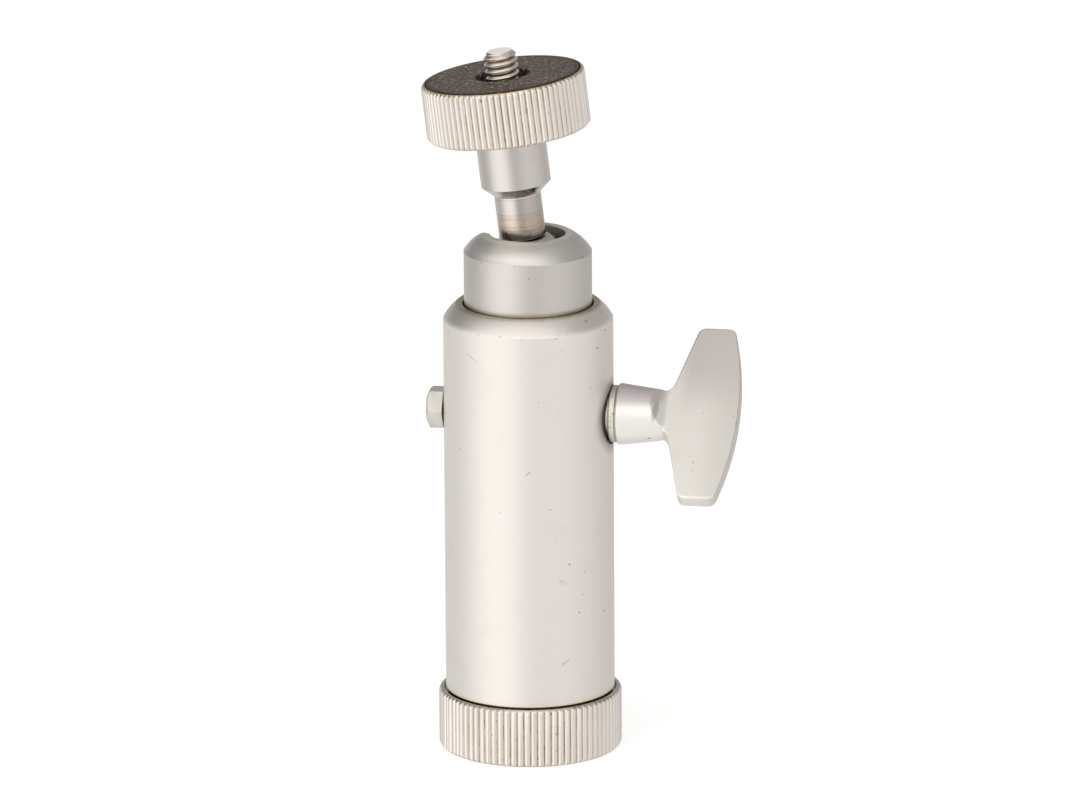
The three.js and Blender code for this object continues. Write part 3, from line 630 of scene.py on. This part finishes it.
tint(metal, barrel_stain, (0.62, 0.56, 0.36))
tint(metal, barrel_marks, mark_dark)
uneven = ramp(blotches(own, 1.2, 0.3, 0.7), 0, 1, 0.5, 0.9)
lip_worn = times(ramp(height, 84.2, 84.9), ramp(radius, 13.9, 13.2), uneven)
tint(metal, lip_worn, (0.5, 0.43, 0.31))
tint(metal, ramp(height, 11.55, 11.43), (0.8, 0.7, 0.36), 0.8)
# Painted shade on the neck below the brass line.
tint(metal, ramp(height, 11.19, 11.16), (0.05, 0.045, 0.04))
crease_worn = times(ramp(height, 81.7, 82.1), ramp(height, 82.7, 82.3))
tint(metal, times(crease_worn, pits(own, 0.9, 0.35, 0.35)), (0.22, 0.19, 0.16), 0.6)
bush_radius, bush_height = on_turning(seen_from(metal.material, key_turning))
on_key_side = ramp(bush_height, 5, 8)
# Painted shadow: a dark soft halo on the barrel round the key bush, and a darker ring of painted shade in the
# gap round its flange.
tint(metal, times(ramp(bush_radius, 8.2, 5.5), on_key_side), (0.2, 0.17, 0.14), 0.62)
tint(metal, times(ramp(bush_radius, 5.95, 5.55), on_key_side), (0.06, 0.05, 0.04), 0.75)
feed(metal.shader.inputs["Metallic"], ramp(height, 82.2, 83.0, 0.7, 1.0))
finished("barrel_tube", barrel_work, at_axis, metal, "base", "barrel")


# Thrust washer: a ring of vulcanised fibre under the barrel's lip,
# which the sleeve's flange is drawn against when the head is locked.
def two_toned(name, mask_of, first, second, roughness, depth):
    """A dull stuff whose colour and relief follow one pattern."""
    stuff = new_finish(name, at_axis, first)
    mask = mask_of(stuff.own)
    tint(stuff, mask, second)
    bumped(stuff, times(mask, depth))
    stuff.rough = roughness
    return stuff


fibre = two_toned("red_fibre", lambda own: blotches(own, 0.3, 0.35, 0.7), (0.3, 0.13, 0.08),
                  (0.2, 0.08, 0.05), 0.75, 0.03)
washer_work = washer(lip_bore, 13.3, 79.4, 80.2, (0.06,) * 4, 2, 128)
finished("thrust_washer_fibre", washer_work, at_axis, fibre, "base", "thrust_washer")

# Guide slug: a brass plug pressed inside the barrel, bored across for the shaft's bushes
# and from above for the plunger.
slug_outer, slug_low, slug_top, plunger_hole = 13.3, 56, 70.4, 5.3
slug_work = turned(rounded([
    (0, slug_low), (slug_outer, slug_low, 0.4), (slug_outer, slug_top, 0.4), (plunger_hole, slug_top, 0.3),
    (plunger_hole, key_height), (0, key_height)]), 128)
for bore in ((key_bore, -6.3, 25), (far_bore, -25, 0)):
    combined(slug_work, across(*bore))
brass_finish = plated_metal("turned_brass", at_axis, (0.72, 0.55, 0.28), 0.32, marks=0.01, stain=0.5,
                            stain_colour=(0.35, 0.22, 0.08))
finished("guide_slug", slug_work, at_axis, brass_finish, "base", "guide_block")

# Shaft bushes: brass, pressed into the barrel's wall from each side.
# The key's one has the thin, worn, pale flange that shows between the barrel and the key.
flange_in, flange_out, flange_radius = 15.6, 16.78, 5.35
side_profile = rounded([
    (3.3, 7.5, 0.1), (4.4, 7.5, 0.15), (4.4, flange_in), (flange_radius, flange_in, 0.08),
    (flange_radius, flange_out, 0.12), (3.3, flange_out, 0.1)], ring=True)
metal = plated_metal("worn_plate_flange", key_turning, (0.74, 0.74, 0.66), 0.42, marks=0.01, pit_share=0.5,
                     stain=0.35, stain_colour=(0.42, 0.38, 0.22))
radius, height = on_turning(metal.own)
tint(metal, pits(metal.own, 0.7, 0.5, 0.45), (0.25, 0.22, 0.14), 0.6)
# Painted shade round the flange's rim where it meets the barrel.
tint(metal, times(ramp(radius, 5.2, 5.34), ramp(height, 16.0, 15.75)), (0.1, 0.09, 0.06), 0.7)
side_work = turned(side_profile, 96, ring=True)
finished("key_side_bush", side_work, key_turning, metal, "base", "key_bush")
end_work = washer(2.7, 3.4, -15.5, -7.5, (0.08, 0.1, 0.1, 0.08), 3, 72)
finished("far_end_bush", end_work, key_turning, brass_finish, "base", "end_bush")

# Cross shaft: ground steel with an eccentric lobe in its middle that lifts the plunger.
# Its left end is threaded for the nut, and its right end is pinned into the winged key.
lobe_radius, lobe_half, lobe_offset = 3.6, 6, -0.6
shaft_work = turned(rounded([
    (0, -15.6), (2.4, -15.6, 0.1), (2.4, -lobe_half, 0.1), (3, -lobe_half, 0.1), (3, 16.7, 0.15), (2.5, 16.7),
    (2.5, 22.6, 0.3), (0, 22.6)]), 96)
lobe_work = rod(lobe_radius, -lobe_half, lobe_half, 96, ease=0.15)
lobe_work.transform(Matrix.Translation((lobe_offset, 0, 0)))
combined(shaft_work, lobe_work, "UNION")
thread_work = threaded(1.95, 1.62, 0.7, 15.4, 18.1, lead=0.3)
thread_work.transform(Matrix.Rotation(math.pi, 4, "Y"))
combined(shaft_work, thread_work, "UNION")
pin_direction = Matrix.Rotation(math.radians(-50), 4, "X")
pin_reach, pin_radius, pin_hole = 19.9, 0.75, 1.05


def pin_rod(radius, low, high):
    """A rod across the key's boss, in the millimetres of a piece turned along the key."""
    pin = rod(radius, low, high, 32, ease=0.12)
    pin.transform(lay_along_key.inverted() @ pin_direction @ Matrix.Translation((pin_reach, 0, 0)))
    return pin


combined(shaft_work, pin_rod(pin_hole, -2.3, 7))
shaft_finish = plated_metal("ground_steel", key_turning, (0.56, 0.55, 0.53), 0.22, stain=0.15)
finished("cross_shaft", shaft_work, key_turning, shaft_finish, "key", "eccentric_shaft")
finished("cross_pin", pin_rod(pin_radius, -2, 4.98), key_turning, shaft_finish, "key", "key_pin")

# Plunger, spring seat and spring: a hardened pin on the lobe, and a light coil spring
# under a steel washer that keeps the cup up on the ball while the key is loose.
cup_low, seat_low = 77.5, 76.7
plunger_radius, plunger_low = 5, 68.8
plunger_work = turned(rounded([
    (0, plunger_low), (plunger_radius - 0.5, plunger_low, 0.1), (plunger_radius, plunger_low + 0.5, 0.1),
    (plunger_radius, cup_low, 0.05), (0, cup_low)]), 72)
plunger_finish = plated_metal("hardened_steel", at_axis, (0.5, 0.49, 0.48), 0.25)
finished("plunger_pin", plunger_work, at_axis, plunger_finish, "lifter", "plunger")
spring_finish = plated_metal("spring_steel", at_axis, (0.46, 0.45, 0.44), 0.3, stain=0.3)
seat_work = washer(plunger_hole, 8.2, seat_low, cup_low, (0.1,) * 4, 2, 72)
finished("spring_seat", seat_work, at_axis, spring_finish, "lifter", "spring_washer")
wire, coil_turns, coil_steps = 0.5, 3, 144
coil_radius, coil_clearance = 6.75, 0.3
coil_low = slug_top + coil_clearance + wire
coil_high = seat_low - coil_clearance - wire
coil_start = Matrix.Translation((coil_radius, 0, coil_low)) @ Matrix.Rotation(math.pi / 2, 4, "X")
coil_work = bmesh.new()
bmesh.ops.create_circle(coil_work, segments=12, radius=wire, matrix=coil_start)
coil_climb = (0, 0, (coil_high - coil_low) / coil_steps)
bmesh.ops.spin(coil_work, geom=coil_work.verts[:] + coil_work.edges[:], cent=(0, 0, 0), axis=(0, 0, 1),
               dvec=coil_climb, angle=2 * math.pi * coil_turns, steps=coil_steps)
bmesh.ops.holes_fill(coil_work, edges=[e for e in coil_work.edges if e.is_boundary], sides=12)
bmesh.ops.recalc_face_normals(coil_work, faces=coil_work.faces)
coil = finished("cup_coil", coil_work, at_axis, spring_finish, "lifter", "cup_spring")
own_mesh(coil)


# Ball cup: turned acetal with a narrow land round its spherical seat, pushed up against the ball.
# It carries the ball and never shows.
def arc(radius, centre, start, end, steps):
    """Profile points on a circle round a height on the axis, from one angle to another."""
    angles = (start + (end - start) * k / steps for k in range(steps + 1))
    return [Vector((radius * math.cos(a), centre + radius * math.sin(a))) for a in angles]


ball_centre, ball_radius, ball_seat = 90, 9, 9.3
cup_radius, cup_top, cup_edge = 9, 84.48, 0.5
cup_seat = arc(ball_seat, ball_centre, math.radians(-36.4), -math.pi / 2, 24)
cup_work = turned(rounded([
    (0, cup_low), (cup_radius - cup_edge, cup_low, 0.1), (cup_radius, cup_low + cup_edge, 0.1),
    (cup_radius, cup_top - cup_edge, 0.1), (cup_radius - cup_edge, cup_top)])
    + cup_seat[:-1] + [(0, ball_centre - ball_seat)], 96)
acetal = two_toned("natural_acetal", lambda own: turning_marks(own, 0.2), (0.8, 0.77, 0.68),
                   (0.7, 0.66, 0.57), 0.4, 0.01)
finished("ball_cup", cup_work, at_axis, acetal, "lifter", "pressure_cup")

# Socket sleeve: the domed, satin-chromed cap that holds the ball and turns under the lip.
# A drop slot is milled down its wall at the back left for the stem.
sleeve_bore, sleeve_outer, sleeve_low = 9.3, 11.9, 76.5
mouth_radius, mouth_land, land_top = 7.05, 8.25, 98.415
mouth_angle = math.acos(mouth_radius / ball_seat)
dome_foot, dome_top = (sleeve_outer, 95.065), (mouth_land, 98.36)
sleeve_profile = rounded([
    (sleeve_bore, sleeve_low), (13.3, sleeve_low, 0.12), (13.3, 79.1, 0.12), (sleeve_outer, 79.1),
    (*dome_foot, 0.1), *bulged(dome_foot, dome_top, 0.33, 12), (8.22, 98.4, 0.05), (8.1, land_top)])
sleeve_profile += [(7.15, land_top), (7.08, 98.38), (mouth_radius, 98.3)]
sleeve_profile += arc(ball_seat, ball_centre, mouth_angle, 0, 16) + [(sleeve_bore, sleeve_low + 0.1)]
sleeve_work = turned(sleeve_profile, 192, ring=True)
slot_half, slot_floor, slot_corner = 5.6, 85.3, 2.0
slot_work = block((0, 10, slot_floor + 10), (2 * slot_half, 20, 20))
lower_edges = [e for e in slot_work.edges if all(v.co.z < slot_floor + 0.1 for v in e.verts)
               and abs(e.verts[0].co.x - e.verts[1].co.x) < 0.1]
bmesh.ops.bevel(slot_work, geom=lower_edges, offset=slot_corner, offset_type="OFFSET", segments=8,
                profile=0.5, affect="EDGES", material=-1)
slot_work.transform(Matrix.Rotation(math.radians(45), 4, "Z"))
combined(sleeve_work, slot_work)
metal = plated_metal("grey_chrome_sleeve", at_axis, (0.68, 0.665, 0.64), 0.39, pitch=0.35, pit_share=0.06,
                     stain=0.14)
own = metal.own
radius, height = on_turning(own)
across_mouth = axes_of(own)["X"]
sleeve_marks = marked(own, (
    (0.21, 92.6, 0.26, 0.12, 20, 0.65), (-7.49, 96.8, 0.3, 0.17, 0, 0.7), (-8.53, 94.76, 0.19, 0.17, 0, 0.7),
    (10.1, 95.18, 0.32, 0.15, 0, 0.85), (11.22, 94.86, 0.35, 0.17, 10, 0.85)))
on_dome_edge = times(ramp(height, 94.75, 94.98), ramp(height, 95.4, 95.15), ramp(radius, 11.6, 11.75))
tint(metal, times(on_dome_edge, pits(own, 0.8, 0.4, 0.12)), (0.14, 0.11, 0.09))
tint(metal, sleeve_marks, mark_dark)
# Painted shade where the sleeve goes down into the barrel's lip.
tint(metal, ramp(height, 86.2, 85.0), (0.26, 0.23, 0.15), 0.75)
# Painted shade inside the bore and the mouth.
bore_shade = times(ramp(radius, 9.6, 9.35), ramp(height, 96.6, 96.2))
mouth_shade = times(ramp(radius, 7.5, 7.2), ramp(height, 98.25, 98.0))
tint(metal, maths("MAXIMUM", bore_shade, mouth_shade), (0.16, 0.13, 0.11), 0.8)
# Painted highlight on the dome's left side.
dome_left_highlight = times(ramp(height, 95.1, 95.9), ramp(across_mouth, 5.0, -3.0))
tint(metal, dome_left_highlight, (0.86, 0.84, 0.82), 0.8)
# Painted sheen on the mouth's land, stronger to the right.
land_sheen = times(ramp(height, 98.25, 98.36), ramp(radius, 8.34, 8.2))
tint(metal, times(land_sheen, ramp(across_mouth, 1.0, 6.5, 0.1, 1.0)), (0.88, 0.85, 0.84))
by_mouth = times(ramp(height, 97.6, 98.3), ramp(radius, 9.2, 8.4))
metal.rough = maths("ADD", metal.rough, times(by_mouth, 0.16))
finished("sleeve_domed", sleeve_work, at_axis, metal, "sleeve", "socket_sleeve", crease=20)

# Ball and stem: a ground steel ball with the turned stem brazed into its spot face.
# The braze has left the stem's foot straw and brown, with dark flux stains. Its right side is painted darker
# as shade.
lean = next(j for j in frame["joints"] if j["name"] == "stem_spin")
leaned = Vector((0, 0, 1)).rotation_difference(Vector(lean["axis"])).to_matrix().to_4x4()
stem_place = Matrix.Translation((0, 0, ball_centre / 1000)) @ leaned
spot_height, spot_radius, hole_floor = 7.5954, 2.8, 0.5954
ball_profile = arc(ball_radius, 0, -math.pi / 2, math.asin(spot_height / ball_radius), 48)
ball_profile[0] = (0, -ball_radius)
ball_profile += [(spot_radius, spot_height), (spot_radius, hole_floor), (0, hole_floor)]
ball_finish = plated_metal("ground_ball", stem_place, (0.6, 0.58, 0.56), 0.14, marks=0.001, scratch=0.8)
ball_work = turned(ball_profile, 128)
finished("ball_polished", ball_work, stem_place, ball_finish, "ball", "clamping_ball")
neck_radius, collar_radius, collar_low, collar_top = 4.35, 6.5, 18, 27.7
stem_profile = rounded([
    (0, 0.9), (2.5, 0.9, 0.1), (2.5, 7.9, 0.1), (neck_radius, 7.9, 0.12), (neck_radius, 16.1, 0.25),
    (collar_radius, collar_low, 0.12), (collar_radius, collar_top - 0.3, 0.08),
    (collar_radius - 0.3, collar_top, 0.08), (2.9, collar_top, 0.08), (2.9, 17.4), (0, 17.4)])
metal = plated_metal("turned_steel_stem", stem_place, (0.68, 0.655, 0.64), 0.15, pitch=0.4, marks=0.008,
                     pit_share=0.06, stain=0.1)
own = metal.own
height = on_turning(own)[1]
heat_height = maths("ADD", height, times(blotches(own, 5.0, 0.2, 0.8), -0.7))
ringed = times(ramp(turning_marks(own, 0.9), 0.54, 0.64), ramp(height, 16.0, 15.6))
tint(metal, ringed, (0.4, 0.36, 0.33), 0.45)
mottled = ramp(blotches(own, 0.7, 0.35, 0.65), 0, 1, 0.3, 0.62)
tint(metal, times(ramp(heat_height, 12.7, 12.1), mottled), (0.56, 0.44, 0.31))
# Painted shade: the stem's right side is darker below the collar's shoulder.
shaded_right_side = ramp(axes_of(own)["X"], -1.2, 0.2)
tint(metal, times(shaded_right_side, ramp(height, 16.0, 15.5, 0.0, 0.5)), (0.44, 0.38, 0.33))
rust = times(ramp(heat_height, 10.4, 10.2), ramp(heat_height, 9.8, 10.0))
tint(metal, rust, (0.5, 0.28, 0.18), 0.45)
tint(metal, ramp(heat_height, 9.9, 9.5), (0.3, 0.29, 0.25), 0.6)
flux = times(blotches(own, 1.6, 0.5, 0.6), ramp(height, 9.9, 9.3))
tint(metal, flux, (0.08, 0.07, 0.06), 0.7)
finished("stem_turned", turned(stem_profile, 128), stem_place, metal, "stem", "ball_stem")

# Camera screw: steel, with the standard camera thread, its tip turned flat and chamfered.
# It stands through the lock disc and is fixed in the stem's top.
screw_low, screw_tip, shank_radius = 28.6, 43.25, 2.6
screw_work = threaded(3.15, 2.58, small_pitch, screw_low, screw_tip, lead=0.9)
shank_work = turned(rounded([(0, 17.7), (shank_radius, 17.7, 0.1), (shank_radius, 29), (0, 29)]), 60)
combined(screw_work, shank_work, "UNION")
metal = plated_metal("screw_steel", stem_place, (0.74, 0.68, 0.62), 0.2, marks=0.003, stain=0.2)
radius, height = on_turning(metal.own)
# Painted shade in the thread roots below the tip.
root_shade = times(ramp(radius, 2.85, 2.62), ramp(height, 42.9, 42.4))
tint(metal, root_shade, (0.12, 0.09, 0.07), 0.8)
on_tip = ramp(height, 43.15, 43.24)
tint(metal, on_tip, (0.92, 0.9, 0.89))
metal.rough = maths("ADD", metal.rough, times(on_tip, 0.3))
feed(metal.shader.inputs["Metallic"], ramp(on_tip, 0.0, 1.0, 1.0, 0.3))
finished("screw_threaded", screw_work, stem_place, metal, "stem", "camera_screw", crease=32)

# Lock disc: nickel-plated brass with the same straight knurl as the foot.
# It runs on the screw's thread and is turned up against the camera's base.
disc_crest, disc_depth, disc_ridges = 15.25, 0.5, 80
disc_low, disc_top, disc_bore = 28, 38.5, 3.45
pad_wall, pad_floor, boss_radius, boss_top = 14.55, 37.15, 4.9, 37.6
disc_profile = rounded([
    (disc_bore, disc_low), (disc_crest - 0.5, disc_low, 0.12), (disc_crest, disc_low + 0.5, 0.3),
    (disc_crest, disc_top - 0.55, 0.15), (disc_crest - 0.5, disc_top, 0.1), (pad_wall, disc_top, 0.05),
    (pad_wall, pad_floor), (boss_radius, pad_floor), (boss_radius, boss_top), (disc_bore, boss_top)],
    ring=True)
disc_work = turned(disc_profile, disc_ridges, ring=True, cuts=11)
knurled(disc_work, disc_crest, disc_depth, disc_ridges, 23)
disc_finish = knurl_metal("nickel_knurl_disc", stem_place, disc_crest, disc_depth, disc_low, disc_top,
                          (0.62, 0.47, 0.24), well=5.0)
finished("disc_knurled", disc_work, stem_place, disc_finish, "disc", "lock_disc")

# Disc pad: a ring of black pebbled leatherette glued into the disc's recess,
# pressed smooth and slightly creased where cameras have sat on it.
pad_work = washer(5, 14.25, 37.45, 38.65, (0.05, 0.05, 0.3, 0.35), 5, 160)
pad = new_finish("pebbled_leatherette", stem_place, (0.31, 0.235, 0.19))
pebbles = node(pad.material.node_tree, "ShaderNodeTexVoronoi",
               {"Vector": pad.own, "Scale": 1.05, "Smoothness": 0.3}, feature="SMOOTH_F1")
pebble_top = ramp(pebbles.outputs["Distance"], 0.62, 0.15)
crumple = noise(pad.own, 0.8, 3.0, 0.6)["Fac"]
wrinkled = ramp(maths("ABSOLUTE", maths("SUBTRACT", crumple, 0.5)), 0.0, 0.07)
bumped(pad, maths("ADD", times(pebble_top, 0.8), times(wrinkled, 0.45)))
rubbed = blotches(pad.own, 5.0, 0.35, 0.75)
tint(pad, rubbed, (0.41, 0.32, 0.27))
# The pebble tops take the pad's lighter, rubbed colour and the creases go dark: painted highlight and painted
# shade on the grain. The rubbed patches are wear.
rubbed_and_highlight_colour, pad.colour = pad.colour, (0.085, 0.062, 0.049)
tint(pad, times(pebble_top, wrinkled), rubbed_and_highlight_colour)
# Painted shade: the pad darkens towards its rim by the disc's wall.
tint(pad, ramp(on_turning(pad.own)[0], 12.9, 14.1), (0.022, 0.017, 0.015), 0.75)
pad.rough = ramp(rubbed, 0, 1, 0.46, 0.36)
finished("pad_leatherette", pad_work, stem_place, pad, "pad", "disc_pad")

# Winged key: a chromed brass casting, its round boss turned to a slight taper
# and blended by two scoops into the flat wing with its bowed outer edge.
neck, neck_half, tip_inner, tip_half, tip_outer, bow = 26.5, 4.3, 30.25, 19.2, 36.85, 39.55
neck_ease, inner_ease, outer_ease = 2.2, 1.4, 1.3
wing_thick, wing_edge = 3.4, 0.42


def eased(before, here, after, reach, steps):
    """Points of a soft corner between two edges of the wing's outline."""
    start = here + (before - here).normalized() * reach
    end = here + (after - here).normalized() * reach
    return curved(start, here, end, steps)


bow_radius = (tip_half ** 2 + (bow - tip_outer) ** 2) / (2 * (bow - tip_outer))
bow_angle = math.asin((tip_half - outer_ease) / bow_radius)
outer_edge = [Vector((bow - bow_radius + bow_radius * math.cos(a), bow_radius * math.sin(a)))
              for a in (bow_angle * (1 - k / 20) for k in range(21))]
neck_point, inner_tip = Vector((neck, neck_half)), Vector((tip_inner, tip_half))
outer_tip = Vector((tip_outer, tip_half))
upper = eased(Vector((neck - 9, neck_half - 0.6)), neck_point, inner_tip, neck_ease, 8)
upper += eased(neck_point, inner_tip, outer_tip, inner_ease, 6)
upper += eased(inner_tip, outer_tip, outer_edge[0], outer_ease, 5)[:-1] + outer_edge
wing_outline = upper + [Vector((p.x, -p.y)) for p in reversed(upper[:-1])]
key_work = bmesh.new()
wing_face = key_work.faces.new([key_work.verts.new((p.x, p.y, -wing_thick / 2)) for p in wing_outline])
grown = bmesh.ops.extrude_face_region(key_work, geom=[wing_face])["geom"]
far_verts = [part for part in grown if isinstance(part, bmesh.types.BMVert)]
bmesh.ops.translate(key_work, vec=(0, 0, wing_thick), verts=far_verts)
bmesh.ops.recalc_face_normals(key_work, faces=key_work.faces)
rim_edges = [e for e in key_work.edges if abs(e.verts[0].co.z - e.verts[1].co.z) < 0.01]
bmesh.ops.bevel(key_work, geom=rim_edges, offset=wing_edge, offset_type="OFFSET", segments=4, profile=0.5,
                affect="EDGES", material=-1, clamp_overlap=True)
key_work.transform(Matrix.Rotation(math.pi / 2, 4, "X"))

# The wing is parted into strips, so that it can be crowned: thickest in its middle
wing_strips = [((0, 0, height), (0, 0, 1)) for height in range(-18, 19, 2)]
wing_strips += [((x, 0, 0), (1, 0, 0)) for x in range(29, 38, 2)]
for strip_at, strip_normal in wing_strips:
    whole_wing = key_work.verts[:] + key_work.edges[:] + key_work.faces[:]
    bmesh.ops.bisect_plane(key_work, geom=whole_wing, dist=1e-4, plane_co=strip_at, plane_no=strip_normal)
middle_crown, tip_loss, bow_loss, flat_until = 1.08, 0.2, 0.13, 29
for vert in key_work.verts:
    towards_bow = max(0, (vert.co.x - flat_until) / (bow - flat_until))
    vert.co.y *= middle_crown - tip_loss * (vert.co.z / tip_half) ** 2 - bow_loss * towards_bow ** 2

# The boss's far end is squeezed to the wing's thickness by the two scoops
boss_wide, boss_narrow, boss_low, boss_end = 5.75, 4.6, 16.85, 28.1
boss_work = turned(rounded(
    [(0, boss_low), (boss_wide - 0.35, boss_low, 0.12), (boss_wide, boss_low + 0.4, 0.25)]
    + [(boss_wide - (boss_wide - boss_narrow) * k / 44, 17.4 + 9.1 * k / 44) for k in range(1, 45)]
    + [(boss_narrow, 26.9), (boss_narrow, 27.5), (boss_narrow, boss_end), (0, boss_end)]), 144)
boss_work.transform(lay_along_key)
scoop_length, scoop_drop, scoop_ease, scoop_land = 3.7, 4.0, 0.25, 1.085 * wing_thick / 2
for vert in boss_work.verts:
    into_scoop = min(1, (vert.co.x - neck + scoop_length) / scoop_length)
    reach = abs(vert.co.y)
    if into_scoop <= 0 or reach < 1e-6:
        continue
    fall = into_scoop ** 0.75
    wall = scoop_land + scoop_drop * (1 - fall * fall * (3 - 2 * fall)) - 0.08 * max(0, vert.co.x - neck)
    vert.co.y *= -scoop_ease * math.log(math.exp(-reach / scoop_ease) + math.exp(-wall / scoop_ease)) / reach
combined(key_work, boss_work, "UNION")
shaft_hole = rod(2.8, 10, 22.9, 64)
shaft_hole.transform(lay_along_key)
combined(key_work, shaft_hole)
key_work.transform(pin_direction)
pin_bore = pin_rod(pin_hole, 0, 11)
pin_bore.transform(lay_along_key)
combined(key_work, pin_bore)
metal = plated_metal("satin_chrome_wing", key_place @ pin_direction, (0.8, 0.785, 0.745), 0.42, pitch=0.4,
                     marks=0.003, pit_share=0.12, scratch=0.6, metallic=0.7)
wing_axes = axes_of(metal.own)
along_wing, up_wing = wing_axes["X"], wing_axes["Z"]
bow_worn = times(ramp(along_wing, 38.95, 39.35), ramp(up_wing, -8, -5), ramp(up_wing, 10, 6))
tint(metal, times(bow_worn, blotches(metal.own, 1.2, 0.5, 0.6)), (0.09, 0.06, 0.045), 0.75)
by_key = seen_from(metal.material, key_place)
on_boss = ramp(along_wing, 26.5, 24.5)
# Painted highlight: the boss is lighter, and its top is painted darker as shade.
tint(metal, on_boss, (0.87, 0.86, 0.84), 0.8)
tint(metal, times(on_boss, ramp(axes_of(by_key)["Z"], 2.2, 3.7)), (0.6, 0.565, 0.555))
# Painted shadow in the upper scoop.
scoop_shadow = marked(by_key, ((24.3, 1.75, 2.1, 0.7, 84, 0.6),), front=-4)
tint(metal, scoop_shadow, (0.36, 0.345, 0.335))
# Painted shade: past the boss the wing darkens towards its bow and towards its top.
past_boss = ramp(along_wing, 27, 30)
tint(metal, times(past_boss, ramp(along_wing, 31, 39, 0.0, 0.8)), (0.66, 0.65, 0.605))
tint(metal, times(past_boss, ramp(up_wing, -3, 11)), (0.63, 0.59, 0.565))
boss_marks = marked(by_key, ((23.2, -3.5, 0.36, 0.15, 25, 0.85), (22.6, -3.75, 0.2, 0.13, 0, 0.6),
                             (33.0, 1.2, 0.14, 0.14, 0, 0.5)), front=-4)
tint(metal, boss_marks, mark_dark)
winged_key = finished("winged_key", key_work, key_place, metal, "key", "wing_key", crease=40)
wing_flats = winged_key.modifiers.new("flat_faces", "WEIGHTED_NORMAL")
wing_flats.keep_sharp = True

# Domed nut: a chromed hexagon with a blind thread on the shaft's far end,
# its corners turned off by the dome and one corner towards the viewer.
nut_corner = 7 / math.sqrt(3)
nut_work = bmesh.new()
bmesh.ops.create_cone(nut_work, cap_ends=True, segments=6, radius1=nut_corner, radius2=nut_corner, depth=3.2,
                      matrix=Matrix.Translation((0, 0, -17.4)))
dome_profile = rounded([
    (0, -19), (2.7, -18.98, 0.2), (4, -18.3, 0.3), (4.3, -17.2), (4.3, -16), (4, -15.8), (0, -15.8)])
combined(nut_work, turned(dome_profile, 96), "INTERSECT")
combined(nut_work, rod(1.9, -18.4, -15, 48))
nut_finish = plated_metal("chromed_nut", key_turning, (0.6, 0.585, 0.545), 0.45, marks=0.006, pit_share=0.15,
                          stain=0.45, stain_colour=(0.45, 0.42, 0.27), metallic=0.55)
nut = finished("domed_nut", nut_work, key_turning, nut_finish, "key", "hex_nut")
nut_ease = nut.modifiers.new("eased_edges", "BEVEL")
nut_ease.width, nut_ease.segments, nut_ease.limit_method = 0.00012, 2, "ANGLE"
nut_ease.angle_limit = math.radians(35)
nut_ease.harden_normals = True
